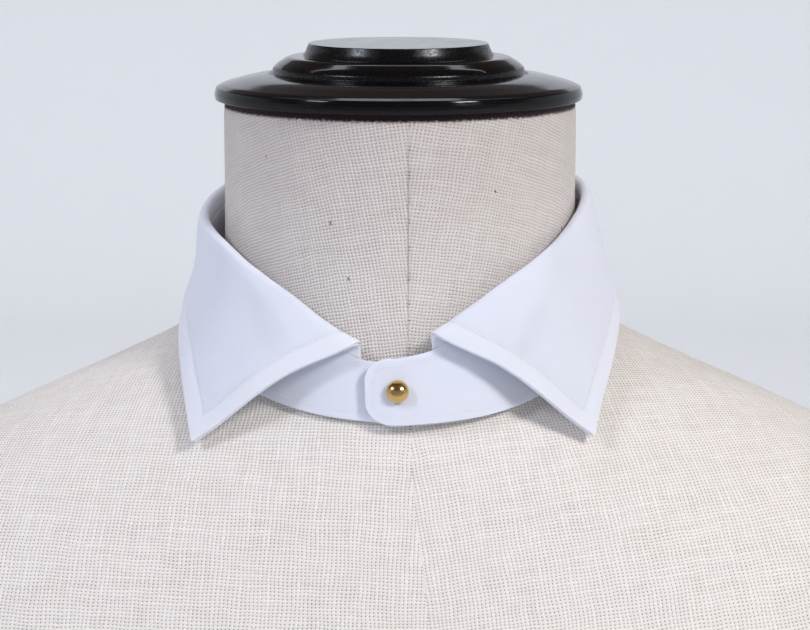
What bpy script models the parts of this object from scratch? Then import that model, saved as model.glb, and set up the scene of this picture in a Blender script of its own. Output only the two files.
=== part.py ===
"""A detachable turn-down shirt collar, closed by its front stud, on a linen-covered bust form.

Metres, +Z up, the front faces -Y. The origin is the middle of the form's underside.
"Drop" is a height measured down from NECK_TOP, just under the neck cap, and "turn" is an angle in
degrees round the neck: 0 at the centre front, 90 on the +X side, 180 at the centre back.
"""
import math

import bmesh
import bpy
from mathutils import Matrix, Vector

MM = 0.001

# Driving sizes of the form
NECK_TOP = 400 * MM
NECK_AXIS_Y = 4 * MM
LINEN = 1.0 * MM
BOARD_INSET = 4 * MM
FORM_COLUMNS = 40
FORM_SEAM_TURN = 3.0
CAP_SEAT = 2.4 * MM

# Driving sizes of the collar
PLY = 1.0 * MM
SEAM_GAP = 0.3 * MM
BAND_BOTTOM_HALF_WIDTH = 65.2 * MM
BAND_BOTTOM_HALF_DEPTH = 68.0 * MM
BAND_BOTTOM_CENTRE_Y = -5.0 * MM
BAND_TOP_HALF_WIDTH = 61.4 * MM
BAND_TOP_HALF_DEPTH = 64.0 * MM
BAND_TOP_CENTRE_Y = -2.2 * MM
BAND_TOP_LEAN_X = -1.2 * MM
BAND_ROWS = 3
BAND_END_TURN = 8.5
BAND_NOSE = 8.0 * MM
BAND_NOSE_END_SHARE = 0.34
BAND_END_STEPS = 7
BAND_END_CROWDING = 1.7
LAP_STEP = 3.0 * MM
LAP_FADE_TURN = 60.0
LEAF_START_TURN = 10.5
LEAF_COLUMNS = 48
ROLL_UP_STEPS = 3
ROLL_DOWN_STEPS = 3
FALL_STEPS = 6
BELLY_PEAK = 0.5
FRONT_BOW = 2.2 * MM
FRONT_BOW_PEAK = 0.4
FRONT_BOW_FADE_TURN = 22.0

# The closing stud and the holes that it and its partner at the back go through
STUD_TURN = 0.0
STUD_SHANK_RADIUS = 1.3 * MM
STUD_HOLE_RADIUS = 1.8 * MM
STUD_HOLE_SIDES = 16
STUD_BASE_RADIUS = 4.6 * MM
STUD_BASE_THICKNESS = 0.9 * MM
STUD_BASE_CLEARANCE = 0.8 * MM
STUD_HEAD_CLEARANCE = 0.4 * MM
STUD_HEAD_RADIUS = 3.6 * MM
STUD_HEAD_HEIGHT = 3.2 * MM
STUD_HEAD_RIM = 0.6 * MM
STUD_EDGE_SHARE = 0.92
STUD_DOME_STEPS = 5
STUD_STEPS = 20
BACK_HOLE_HEIGHT = 10.0 * MM
BACK_HOLE_WIDTH = 1.6 * MM
CUT_REACH = 12 * MM

CAP_STEPS = 40
SHARP_ANGLE = math.radians(50)


def table(columns, *rows):
    """Rows of numbers under named columns."""
    names = columns.split()
    return [dict(zip(names, row)) for row in rows]


# Where the leaf folds over, on each side of the neck: how far the fold lies below the neck's top,
# how far it stands above the seam with the band, how round the fold is, the leaf's belly, and how
# far the fold and the band's top stand out from their oval.
FOLD = table(
    "turn   left   right  rise  roll  left_belly  right_belly  left_out  right_out",
    (0,     68.4,  66.8,  5.6,  3.6,  2.0,        2.0,         0.0,      0.0),
    (10,    67.7,  64.3,  5.6,  3.6,  2.0,        2.0,         0.0,      0.0),
    (20,    62.1,  57.6,  6.2,  3.2,  1.8,        1.8,         0.0,      0.0),
    (32,    53.6,  50.2,  7.2,  2.6,  0.8,        1.2,         0.0,      0.0),
    (46,    47.4,  43.9,  8.0,  2.0,  0.0,        1.0,         0.0,      0.0),
    (62,    41.2,  37.6,  7.4,  1.7,  -0.8,       0.6,         0.0,      -0.3),
    (90,    34.1,  26.9,  6.2,  1.6,  -1.2,       0.2,         1.6,      1.0),
    (115,   27.7,  23.7,  6.0,  1.6,  -0.8,       0.1,         0.2,      0.0),
    (145,   25.2,  23.6,  6.0,  1.6,  -0.3,       0.0,         0.1,      0.0),
    (180,   23.8,  23.8,  6.0,  1.6,  0.0,        0.0,         0.0,      0.0),
)

# The band's lower edge, which rests on the form where the neck meets the shoulders.
BAND_BOTTOM = table(
    "turn   drop",
    (0,     91.5),
    (20,    90.0),
    (32,    88.0),
    (45,    84.6),
    (60,    78.0),
    (75,    71.4),
    (90,    66.5),
    (120,   62.0),
    (150,   59.5),
    (180,   59.0),
)

# The leaf's outer edge. The first row is the collar point, and each row meets the fold at its turn.
LEAF_EDGE = table(
    "turn   left   right  y      left_drop  right_drop",
    (10.5,  64.7,  60.5,  -66.0, 98.8,      96.8),
    (20,    66.6,  62.6,  -57.5, 91.4,      90.4),
    (35,    69.2,  66.4,  -44.5, 80.9,      80.9),
    (50,    71.0,  69.6,  -30.0, 72.8,      73.6),
    (70,    72.0,  72.2,  -8.0,  68.2,      67.4),
    (90,    71.4,  71.6,  15.5,  67.2,      66.8),
    (115,   61.8,  61.8,  42.6,  66.8,      66.4),
    (145,   37.4,  37.4,  66.4,  66.2,      66.0),
    (180,   0.0,   0.0,   77.0,  66.0,      66.0),
)

# The form from the neck down, one closed ring a row. A ring's height differs at its side, front and
# back, and "corner" is 2 for an oval and more for a squarer outline.
FORM_RINGS = table(
    "name             side   front  back   side_drop  front_drop  back_drop  corner",
    ("neck_top",      58.0,  58.0,  58.0,  -2.4,      -2.4,       -2.4,      2.0),
    ("neck_upper",    58.0,  58.0,  58.0,  14.0,      16.0,       12.0,      2.0),
    ("neck_middle",   58.0,  58.0,  58.0,  30.0,      36.0,       26.0,      2.0),
    ("neck_lower",    58.3,  58.2,  58.4,  46.0,      58.0,       40.0,      2.0),
    ("throat",        60.0,  60.8,  59.6,  59.0,      81.0,       51.5,      2.0),
    ("seat",          0.0,   0.0,   0.0,   0.0,       0.0,        0.0,       2.0),
    ("collarbone",    74.0,  80.0,  69.0,  74.0,      107.0,      70.0,      2.0),
    ("yoke",          100.0, 88.0,  79.0,  86.5,      123.0,      86.0,      2.05),
    ("shoulder",      135.0, 97.0,  90.0,  102.0,     146.0,      110.0,     2.15),
    ("upper_arm",     168.0, 105.0, 99.0,  119.0,     172.0,      138.0,     2.2),
    ("shoulder_end",  193.0, 110.5, 104.0, 138.0,     200.0,      168.0,     2.25),
    ("arm_top",       205.0, 113.5, 106.5, 162.0,     228.0,      198.0,     2.3),
    ("arm_middle",    204.0, 115.0, 107.0, 196.0,     256.0,      230.0,     2.3),
    ("armpit",        190.0, 114.5, 106.5, 238.0,     286.0,      266.0,     2.3),
    ("chest",         176.0, 112.0, 105.0, 284.0,     316.0,      304.0,     2.35),
    ("ribs",          165.0, 108.5, 102.0, 334.0,     350.0,      344.0,     2.4),
    ("hem",           158.0, 104.5, 99.0,  387.0,     387.0,      387.0,     2.4),
)
SEAT_ROW = [row["name"] for row in FORM_RINGS].index("seat")
SEAT_CLEARANCE = 0.45 * MM
SEAT_INSET = 1.4 * MM

# The turned neck cap, outer side from the top down to its flat underside.
CAP_PROFILE = table(
    "radius  height",
    (28.4,   18.2),
    (30.0,   17.7),
    (31.1,   16.3),
    (31.9,   14.0),
    (33.1,   13.5),
    (36.2,   13.4),
    (39.0,   12.4),
    (40.8,   10.5),
    (41.4,   8.5),
    (42.8,   8.3),
    (48.6,   7.5),
    (54.1,   6.1),
    (58.5,   4.3),
    (60.3,   2.9),
    (60.9,   1.6),
    (60.5,   0.5),
)


def closed_round(rows, right, left, right_sign=1.0, left_sign=1.0):
    """Pairs of turn and value that go all round the neck, with the rows mirrored past the back."""
    there = [(row["turn"], right_sign * row[right]) for row in rows]
    back_again = [(360 - row["turn"], left_sign * row[left]) for row in reversed(rows[:-1])]
    return there + back_again


def smooth(pairs, at):
    """The value at a turn, on a smooth curve through the pairs."""
    if at <= pairs[0][0]:
        return pairs[0][1]
    if at >= pairs[-1][0]:
        return pairs[-1][1]
    last = len(pairs) - 1
    index = max(i for i in range(last) if pairs[i][0] <= at)
    (x0, y0), (x1, y1) = pairs[index], pairs[index + 1]

    def slope(i):
        low, high = max(i - 1, 0), min(i + 1, last)
        return (pairs[high][1] - pairs[low][1]) / (pairs[high][0] - pairs[low][0])

    span = x1 - x0
    t = (at - x0) / span
    return (
        y0 * (2 * t**3 - 3 * t**2 + 1)
        + y1 * (3 * t**2 - 2 * t**3)
        + slope(index) * span * (t**3 - 2 * t**2 + t)
        + slope(index + 1) * span * (t**3 - t**2)
    )


def all_round(rows, turn, right, left, right_sign=1.0, left_sign=1.0):
    """One column of a collar table at any turn from 0 to 360."""
    return smooth(closed_round(rows, right, left, right_sign, left_sign), turn)


def place(x, y, drop):
    """A point given from the neck's axis and the neck's top, in the part's frame."""
    return Vector((x, y + NECK_AXIS_Y, NECK_TOP - drop))


def neck_ring(turn, half_width, half_depth, centre_y, drop, lean_x=0.0):
    """A point on an oval round the neck."""
    angle = math.radians(turn)
    x = lean_x + half_width * math.sin(angle)
    y = centre_y - half_depth * math.cos(angle)
    return place(x, y, drop)


def ease(share):
    """A share from 0 to 1, eased at both ends."""
    share = min(max(share, 0.0), 1.0)
    return share * share * (3.0 - 2.0 * share)


def lap_offset(turn):
    """How far the band's upper end stands out, to pass over its other end at the front."""
    return LAP_STEP * ease(1.0 - turn / LAP_FADE_TURN)


def band_edge(turn, top):
    """A point on the middle of the band's cloth, at its lower edge or at its seam with the leaf."""
    folded = min(max(turn, 0.0), 360.0)
    if top:
        fold = all_round(FOLD, folded, "right", "left")
        rise = all_round(FOLD, folded, "rise", "rise")
        point = neck_ring(
            turn, BAND_TOP_HALF_WIDTH, BAND_TOP_HALF_DEPTH, BAND_TOP_CENTRE_Y,
            (fold + rise) * MM, BAND_TOP_LEAN_X,
        )
    else:
        drop = all_round(BAND_BOTTOM, folded, "drop", "drop") * MM
        point = neck_ring(
            turn, BAND_BOTTOM_HALF_WIDTH, BAND_BOTTOM_HALF_DEPTH, BAND_BOTTOM_CENTRE_Y, drop
        )
    angle = math.radians(turn)
    out = lap_offset(turn)
    if top:
        out += all_round(FOLD, folded, "right_out", "left_out") * MM
    return point + out * Vector((math.sin(angle), -math.cos(angle), 0.0))


def nose_share(turn):
    """How much of its height the band keeps near its rounded ends."""
    past_end = min(turn + BAND_END_TURN, 360.0 + BAND_END_TURN - turn)
    along = math.radians(past_end) * BAND_BOTTOM_HALF_DEPTH
    reach = min(along / BAND_NOSE, 1.0)
    roundness = math.sqrt(1.0 - (1.0 - reach) ** 2)
    return BAND_NOSE_END_SHARE + (1.0 - BAND_NOSE_END_SHARE) * roundness


def leaf_turns():
    """The leaf's columns, even round the neck from one front edge to the other."""
    step = (360.0 - 2 * LEAF_START_TURN) / LEAF_COLUMNS
    return [LEAF_START_TURN + step * i for i in range(LEAF_COLUMNS + 1)]


def band_turns():
    """The band's columns: close together at its rounded ends, even round the neck."""
    spread = LEAF_START_TURN + BAND_END_TURN
    ends = [
        spread * (i / BAND_END_STEPS) ** BAND_END_CROWDING - BAND_END_TURN
        for i in range(BAND_END_STEPS)
    ]
    return ends + leaf_turns() + [360.0 - turn for turn in reversed(ends)]


def band_grid():
    """Columns of points on the middle of the band's cloth, from its lower edge up."""
    columns = []
    for turn in band_turns():
        low, high = band_edge(turn, False), band_edge(turn, True)
        middle = (low + high) / 2
        reach = (high - low) / 2 * nose_share(turn)
        columns.append(
            [middle + reach * (2.0 * row / BAND_ROWS - 1.0) for row in range(BAND_ROWS + 1)]
        )
    return columns


def band_frame(turn):
    """The way up the band's cloth and the way out of it, where the leaf is sewn on."""
    up = (band_edge(turn, True) - band_edge(turn, False)).normalized()
    along = (band_edge(turn + 1.0, True) - band_edge(turn - 1.0, True)).normalized()
    out = along.cross(up).normalized()
    return up, out


def hump(share, peak):
    """A curve that is 0 at shares 0 and 1, and 1 at its peak."""
    if share < peak:
        return math.sin(math.pi / 2 * share / peak) ** 2
    return math.sin(math.pi / 2 * (1.0 - share) / (1.0 - peak)) ** 2


def leaf_section(turn):
    """The leaf's cloth at one turn: up from the seam, round the fold and down to its outer edge."""
    up, out = band_frame(turn)
    seam = band_edge(turn, True) + up * SEAM_GAP
    edge = place(
        all_round(LEAF_EDGE, turn, "right", "left", 1.0, -1.0) * MM,
        all_round(LEAF_EDGE, turn, "y", "y") * MM,
        all_round(LEAF_EDGE, turn, "right_drop", "left_drop") * MM,
    )
    roll = all_round(FOLD, turn, "roll", "roll") * MM
    rise = all_round(FOLD, turn, "rise", "rise") * MM
    belly = all_round(FOLD, turn, "right_belly", "left_belly") * MM
    straight = rise - roll - PLY - SEAM_GAP
    apex = seam + up * (straight + roll) + out * roll
    points = [seam.copy()]
    for step in range(ROLL_UP_STEPS):
        angle = math.pi / 2 * step / ROLL_UP_STEPS
        points.append(
            seam + up * (straight + roll * math.sin(angle)) + out * roll * (1.0 - math.cos(angle))
        )

    # Past the top of the fold the cloth falls towards the leaf's edge, which near the front is aslant.
    to_edge = edge - apex
    edge_out = to_edge.dot(out)
    down = to_edge - out * edge_out
    edge_down = down.length
    down.normalize()
    reach = math.hypot(edge_down - roll, edge_out)
    leave = math.atan2(edge_down - roll, edge_out) - math.acos(min(1.0, roll / reach))
    for step in range(ROLL_DOWN_STEPS + 1):
        angle = -math.pi / 2 + (leave + math.pi / 2) * step / ROLL_DOWN_STEPS
        points.append(apex + out * roll * math.cos(angle) + down * roll * (1.0 + math.sin(angle)))
    start = points[-1]
    normal = out * math.cos(leave) + down * math.sin(leave)
    aside = (up - down * up.dot(down)).normalized()
    from_front = min(turn, 360.0 - turn) - LEAF_START_TURN
    bow = FRONT_BOW * ease(1.0 - from_front / FRONT_BOW_FADE_TURN)
    for step in range(1, FALL_STEPS + 1):
        share = step / FALL_STEPS
        bulge = normal * belly * hump(share, BELLY_PEAK)
        sweep = aside * bow * hump(share, FRONT_BOW_PEAK)
        points.append(start.lerp(edge, share) + bulge + sweep)
    return points


def leaf_grid():
    """Columns of points on the middle of the leaf, from one front edge round to the other."""
    return [leaf_section(turn) for turn in leaf_turns()]


def grid_normals(columns):
    """Outward directions at the points of a grid."""
    last_column, last_row = len(columns) - 1, len(columns[0]) - 1
    normals = []
    for i in range(last_column + 1):
        before, after = columns[max(i - 1, 0)], columns[min(i + 1, last_column)]
        normals.append([
            (after[j] - before[j])
            .cross(columns[i][min(j + 1, last_row)] - columns[i][max(j - 1, 0)])
            .normalized()
            for j in range(last_row + 1)
        ])
    return normals


def moved_grid(columns, distance):
    """The grid moved out of its own surface by a distance."""
    normals = grid_normals(columns)
    return [
        [point + normal * distance for point, normal in zip(*pair)]
        for pair in zip(columns, normals)
    ]


def material(name, colour, roughness, metallic=0.0):
    """A plain finish, given as linear red, green and blue."""
    made = bpy.data.materials.new(name)
    made.use_nodes = True
    shader = made.node_tree.nodes["Principled BSDF"]
    shader.inputs["Base Color"].default_value = (*colour, 1.0)
    shader.inputs["Roughness"].default_value = roughness
    shader.inputs["Metallic"].default_value = metallic
    return made


def new_object(name, mesh, finish, collection):
    """An object of the part, with its finish."""
    made = bpy.data.objects.new(name, mesh)
    made.data.materials.append(finish)
    collection.objects.link(made)
    return made


def loft_mesh(name, columns, closed=False):
    """An open surface through columns of points, or one closed round its columns."""
    mesh = bpy.data.meshes.new(name)
    shape = bmesh.new()
    grid = [[shape.verts.new(point) for point in column] for column in columns]
    pairs = list(zip(grid, grid[1:]))
    if closed:
        pairs.append((grid[-1], grid[0]))
    for here, there in pairs:
        for j in range(len(here) - 1):
            shape.faces.new((here[j], there[j], there[j + 1], here[j + 1]))
    shape.to_mesh(mesh)
    shape.free()
    mesh.shade_smooth()
    mesh.set_sharp_from_angle(angle=SHARP_ANGLE)
    return mesh


def cloth_wall(name, columns, side, gap, thickness, finish, collection):
    """A ply of cloth on the outer side, 1, or the inner side, -1, of a grid, clear of it by a gap."""
    made = new_object(name, loft_mesh(name, moved_grid(columns, side * gap)), finish, collection)
    wall = made.modifiers.new("thickness", "SOLIDIFY")
    wall.thickness = thickness
    wall.offset = side
    wall.use_even_offset = True
    return made


def form_point(ring, turn):
    """A point of the form's linen surface, on one ring."""
    angle = math.radians(turn)
    if ring is FORM_RINGS[SEAT_ROW]:
        lower = neck_ring(
            turn, BAND_BOTTOM_HALF_WIDTH - SEAT_INSET, BAND_BOTTOM_HALF_DEPTH - SEAT_INSET,
            BAND_BOTTOM_CENTRE_Y, all_round(BAND_BOTTOM, turn % 360.0, "drop", "drop") * MM,
        )
        return lower - Vector((0.0, 0.0, SEAT_CLEARANCE))
    sine, cosine = math.sin(angle), math.cos(angle)
    power = 2.0 / ring["corner"]
    depth = ring["front"] if cosine > 0 else ring["back"]
    end_drop = ring["front_drop"] if cosine > 0 else ring["back_drop"]
    x = math.copysign(abs(sine) ** power, sine) * ring["side"]
    y = -math.copysign(abs(cosine) ** power, cosine) * depth
    drop = ring["side_drop"] * sine**2 + end_drop * cosine**2
    return place(x * MM, y * MM, drop * MM)


def form_grid(first_row, last_row, first_turn, last_turn):
    """Columns of the form's surface between two rings and two turns past its front seam, lower ring first."""
    steps = round((last_turn - first_turn) / 360.0 * FORM_COLUMNS)
    turns = [FORM_SEAM_TURN + first_turn + (last_turn - first_turn) * i / steps for i in range(steps + 1)]
    rows = FORM_RINGS[first_row:last_row + 1]
    return [[form_point(row, turn) for row in reversed(rows)] for turn in turns]


def trimmed(columns, top, bottom):
    """A panel's points with its sides drawn in for the seams, and its upper or lower edge too."""
    half = SEAM_GAP / 2
    columns = [[point.copy() for point in column] for column in columns]
    for edge, inner in ((0, 1), (-1, -2)):
        columns[edge] = [
            here + (there - here).normalized() * half
            for here, there in zip(columns[edge], columns[inner])
        ]
    for column in columns:
        if top:
            column[-1] += (column[-2] - column[-1]).normalized() * half
        if bottom:
            column[0] += (column[1] - column[0]).normalized() * half
    return columns


def build_form(collection, linen, foam, wood, lacquer):
    """The bust form: a foam body, its linen panels, a board under it and the neck cap."""
    last = len(FORM_RINGS) - 1
    neck_panels = {"neck_cover_right": (0.0, 180.0), "neck_cover_left": (180.0, 360.0)}
    torso_panels = {
        "torso_cover_front_right": (0.0, 90.0),
        "torso_cover_back_right": (90.0, 180.0),
        "torso_cover_back_left": (180.0, 270.0),
        "torso_cover_front_left": (270.0, 360.0),
    }
    for name, (start, end) in neck_panels.items():
        columns = trimmed(form_grid(0, SEAT_ROW, start, end), top=False, bottom=True)
        cloth_wall(name, columns, -1, 0.0, LINEN, linen, collection)
    for name, (start, end) in torso_panels.items():
        columns = trimmed(form_grid(SEAT_ROW, last, start, end), top=True, bottom=False)
        cloth_wall(name, columns, -1, 0.0, LINEN, linen, collection)

    skin = form_grid(0, last, 0.0, 360.0)[:-1]
    ring = [skin[-1]] + skin + [skin[0]]
    body = moved_grid(ring, -(LINEN + SEAM_GAP))[1:-1]
    for column in body:
        column[0].z = NECK_TOP - FORM_RINGS[last]["side_drop"] * MM
        column[-1].z = NECK_TOP + CAP_SEAT
    mesh = loft_mesh("form_body", body, closed=True)
    shape = bmesh.new()
    shape.from_mesh(mesh)
    bmesh.ops.holes_fill(shape, edges=[edge for edge in shape.edges if edge.is_boundary])
    bmesh.ops.recalc_face_normals(shape, faces=shape.faces)
    shape.to_mesh(mesh)
    shape.free()
    new_object("form_body", mesh, foam, collection)

    build_board(collection, wood)
    build_cap(collection, lacquer)


def build_board(collection, wood):
    """The board that closes the form's underside, and on which the whole part stands."""
    hem = FORM_RINGS[-1]
    inner = {**hem, **{key: hem[key] - BOARD_INSET / MM for key in ("side", "front", "back")}}
    outline = [form_point(inner, 360.0 * i / FORM_COLUMNS) for i in range(FORM_COLUMNS)]
    shape = bmesh.new()
    corners = [shape.verts.new((point.x, point.y, 0.0)) for point in outline]
    shape.faces.new(corners)
    mesh = bpy.data.meshes.new("base_board")
    shape.to_mesh(mesh)
    shape.free()
    made = new_object("base_board", mesh, wood, collection)
    wall = made.modifiers.new("thickness", "SOLIDIFY")
    wall.thickness = NECK_TOP - hem["side_drop"] * MM - SEAM_GAP
    wall.offset = 1.0


def turned(name, profile, steps, finish, collection):
    """A solid turned about its own Z axis from a profile that runs down its outer side."""
    mesh = bpy.data.meshes.new(name)
    shape = bmesh.new()
    corners = [shape.verts.new((radius, 0.0, height)) for radius, height in profile]
    for here, there in zip(corners, corners[1:]):
        shape.edges.new((here, there))
    shape.to_mesh(mesh)
    shape.free()
    made = new_object(name, mesh, finish, collection)
    screw = made.modifiers.new("turning", "SCREW")
    screw.steps = steps
    screw.render_steps = steps
    screw.use_merge_vertices = True
    screw.merge_threshold = 0.01 * MM
    return made


def build_cap(collection, lacquer):
    """The stepped cap that covers the neck's cut top."""
    outer = [(row["radius"] * MM, row["height"] * MM) for row in CAP_PROFILE]
    profile = [(0.0, outer[0][1])] + outer + [(outer[-1][0], 0.0), (0.0, 0.0)]
    cap = turned("neck_cap", profile, CAP_STEPS, lacquer, collection)
    cap.location = place(0.0, 0.0, -CAP_SEAT - SEAM_GAP)


def stud_matrix():
    """Where the stud stands: its Z axis runs out of the band's cloth at the centre front."""
    up, out = band_frame(STUD_TURN)
    middle = (band_edge(STUD_TURN, False) + band_edge(STUD_TURN, True)) / 2
    middle -= out * lap_offset(STUD_TURN) / 2
    side = up.cross(out)
    turn = Matrix((side, up, out)).transposed().to_4x4()
    return Matrix.Translation(middle) @ turn


def build_stud(collection, brass):
    """The front stud: a base behind both ends of the band, a shank and a round head."""
    stack = LAP_STEP / 2 + PLY + SEAM_GAP / 2
    head_foot = stack + STUD_HEAD_CLEARANCE
    dome_foot = head_foot + STUD_HEAD_RIM
    dome_height = STUD_HEAD_HEIGHT - STUD_HEAD_RIM
    base_top = -stack - STUD_BASE_CLEARANCE
    base_middle = base_top - STUD_BASE_THICKNESS / 2
    base_foot = base_top - STUD_BASE_THICKNESS
    quarters = [math.pi / 2 * step / STUD_DOME_STEPS for step in range(STUD_DOME_STEPS + 1)]
    profile = [
        (STUD_HEAD_RADIUS * math.sin(angle), dome_foot + dome_height * math.cos(angle))
        for angle in quarters
    ]
    profile += [
        (STUD_HEAD_RADIUS * STUD_EDGE_SHARE, head_foot),
        (STUD_SHANK_RADIUS, head_foot),
        (STUD_SHANK_RADIUS, base_top),
        (STUD_BASE_RADIUS * STUD_EDGE_SHARE, base_top),
        (STUD_BASE_RADIUS, base_middle),
        (STUD_BASE_RADIUS * STUD_EDGE_SHARE, base_foot),
        (0.0, base_foot),
    ]
    stud = turned("front_stud", profile, STUD_STEPS, brass, collection)
    stud.matrix_world = stud_matrix()


def cutter(name, mesh, matrix, collection):
    """A shape that cuts cloth and isn't part of the collar."""
    made = bpy.data.objects.new(name, mesh)
    made.matrix_world = matrix
    made.hide_render = True
    made.display_type = "WIRE"
    collection.objects.link(made)
    return made


def stud_hole_cutters(collection):
    """The front hole through both ends of the band, and the upright slit at the centre back."""
    shape = bmesh.new()
    bmesh.ops.create_cone(
        shape, cap_ends=True, segments=STUD_HOLE_SIDES,
        radius1=STUD_HOLE_RADIUS, radius2=STUD_HOLE_RADIUS, depth=CUT_REACH,
    )
    front = bpy.data.meshes.new("front_hole_cutter")
    shape.to_mesh(front)
    shape.free()

    up, out = band_frame(180.0)
    middle = (band_edge(180.0, False) + band_edge(180.0, True)) / 2
    turn = Matrix((up.cross(out), up, out)).transposed().to_4x4()
    shape = bmesh.new()
    bmesh.ops.create_cube(shape, size=1.0)
    bmesh.ops.scale(shape, vec=(BACK_HOLE_WIDTH, BACK_HOLE_HEIGHT, CUT_REACH), verts=shape.verts)
    back = bpy.data.meshes.new("back_hole_cutter")
    shape.to_mesh(back)
    shape.free()
    return [
        cutter("front_hole_cutter", front, stud_matrix(), collection),
        cutter("back_hole_cutter", back, Matrix.Translation(middle) @ turn, collection),
    ]


def build_collar(collection, cutters, cloth, brass):
    """The collar: an upper and an under leaf, an outer and an inner band, and the front stud."""
    holes = stud_hole_cutters(cutters)
    leaf, band = leaf_grid(), band_grid()
    half = SEAM_GAP / 2
    # The leaf turns over at its fold, so the side of its grid that faces the neck is the one that shows.
    cloth_wall("upper_leaf", leaf, -1, half, PLY, cloth, collection)
    cloth_wall("under_leaf", leaf, 1, half, PLY, cloth, collection)
    for name, side in (("band_outer", 1), ("band_inner", -1)):
        ply = cloth_wall(name, band, side, half, PLY, cloth, collection)
        for hole in holes:
            cut = ply.modifiers.new(hole.name, "BOOLEAN")
            cut.operation = "DIFFERENCE"
            cut.solver = "EXACT"
            cut.object = hole
    build_stud(collection, brass)


def main():
    for existing in list(bpy.data.objects):
        bpy.data.objects.remove(existing)
    parts = bpy.data.collections.new("shirt_collar_on_form")
    cutters = bpy.data.collections.new("cutters")
    for collection in (parts, cutters):
        bpy.context.scene.collection.children.link(collection)
    cloth = material("white_cotton", (0.80, 0.82, 0.87), 0.85)
    linen = material("natural_linen", (0.56, 0.51, 0.46), 0.95)
    foam = material("form_foam", (0.60, 0.55, 0.45), 0.9)
    wood = material("plain_board", (0.36, 0.25, 0.15), 0.7)
    lacquer = material("black_lacquer", (0.006, 0.006, 0.007), 0.22)
    brass = material("gilt_brass", (0.72, 0.50, 0.20), 0.3, 1.0)
    build_form(parts, linen, foam, wood, lacquer)
    build_collar(parts, cutters, cloth, brass)


main()
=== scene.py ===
# %% [markdown]
# # A turn-down shirt collar on a linen dress form
#
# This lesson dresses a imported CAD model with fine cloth, sewing and finishes. The CAD model gives
# every size, so each piece made here sits where its solid is. All lengths are in metres, +Z is up
# and the front of the collar faces -Y.

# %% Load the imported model
import math

import bpy
import numpy as np
from mathutils import Matrix, Vector, noise


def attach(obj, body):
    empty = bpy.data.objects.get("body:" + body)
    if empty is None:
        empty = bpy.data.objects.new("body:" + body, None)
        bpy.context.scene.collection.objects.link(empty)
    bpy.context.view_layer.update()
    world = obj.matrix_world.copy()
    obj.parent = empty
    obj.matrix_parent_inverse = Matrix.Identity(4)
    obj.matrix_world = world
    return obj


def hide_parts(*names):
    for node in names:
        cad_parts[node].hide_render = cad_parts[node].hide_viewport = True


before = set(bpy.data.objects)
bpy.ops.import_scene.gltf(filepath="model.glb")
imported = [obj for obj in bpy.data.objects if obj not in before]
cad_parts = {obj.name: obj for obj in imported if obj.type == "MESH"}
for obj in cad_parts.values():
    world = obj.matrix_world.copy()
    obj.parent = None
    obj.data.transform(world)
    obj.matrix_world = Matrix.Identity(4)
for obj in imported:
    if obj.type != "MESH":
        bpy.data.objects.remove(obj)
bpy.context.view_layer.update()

MM = 0.001

# %% [markdown]
# ## The camera
#
# The view was solved from the rims of the turned cap, whose ellipses tell how far the camera looks
# down. A long lens 0.9 m away keeps the neck from bulging. The camera comes first, so that all
# later steps can be judged through it.

# %% Camera at the photograph's angle
NECK_TOP = 400 * MM
NECK_AXIS_Y = 4 * MM

view_camera = bpy.data.cameras.new("studio_camera")
view_camera.lens = 121.33
view_camera.sensor_width = 36.0
camera = bpy.data.objects.new("studio_camera", view_camera)
camera.location = (1.65 * MM, NECK_AXIS_Y - 900 * MM, NECK_TOP + 82.3 * MM)
camera.rotation_euler = (math.radians(80.4), 0.0, 0.0)
bpy.context.scene.collection.objects.link(camera)
bpy.context.scene.camera = camera
bpy.context.scene.view_settings.view_transform = "Standard"
print("camera stands", round((camera.location - Vector((0, 0, NECK_TOP))).length, 3), "m from the neck")

# %% [markdown]
# ## Helpers for colours and nodes
#
# Colours are written as the sRGB hex values that a colour picker shows, and one function turns them
# into the linear values that Blender mixes light with. A second function adds any node, sets its
# properties and fills its inputs with numbers or links.


# %% Colours and nodes
def linear(hex_colour):
    """Linear red, green, blue and alpha of an sRGB hex colour."""
    parts = [int(hex_colour[i:i + 2], 16) / 255 for i in (1, 3, 5)]
    return tuple(p / 12.92 if p <= 0.04045 else ((p + 0.055) / 1.055) ** 2.4 for p in parts) + (1.0,)


def add_node(tree, kind, settings=None, inputs=None):
    """A new node with its properties set. An input takes a number, a socket or another node."""
    node = tree.nodes.new(kind)
    for name, value in (settings or {}).items():
        setattr(node, name, value)
    for name, value in (inputs or {}).items():
        if isinstance(value, bpy.types.Node):
            value = value.outputs[0]
        if isinstance(value, bpy.types.NodeSocket):
            tree.links.new(value, node.inputs[name])
        else:
            node.inputs[name].default_value = value
    return node


def new_material(name, **shader_values):
    """A material, its node tree and its shader, with uniform values on the shader's own sockets."""
    made = bpy.data.materials.new(name)
    made.use_nodes = True
    shader = made.node_tree.nodes["Principled BSDF"]
    for socket, value in shader_values.items():
        shader.inputs[socket.replace("_", " ")].default_value = value
    return made, made.node_tree, shader


print("pure white is", linear("#ffffff"))

# %% [markdown]
# ## The studio
#
# The object stands in a pale round sweep: a floor that curves up into a low wall, so no horizon
# shows from any side. Two softboxes stand in front on the left and the right, which gives each
# collar point two soft shadows and each rim of the lacquered cap two highlights. Above the low wall
# the room is dark, which keeps the lacquer black.

# %% Pale sweep
SWEEP_FLOOR = 1.9
SWEEP_FILLET = 0.5
SWEEP_HEIGHT = 1.25
SWEEP_STEPS = 96


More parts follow.
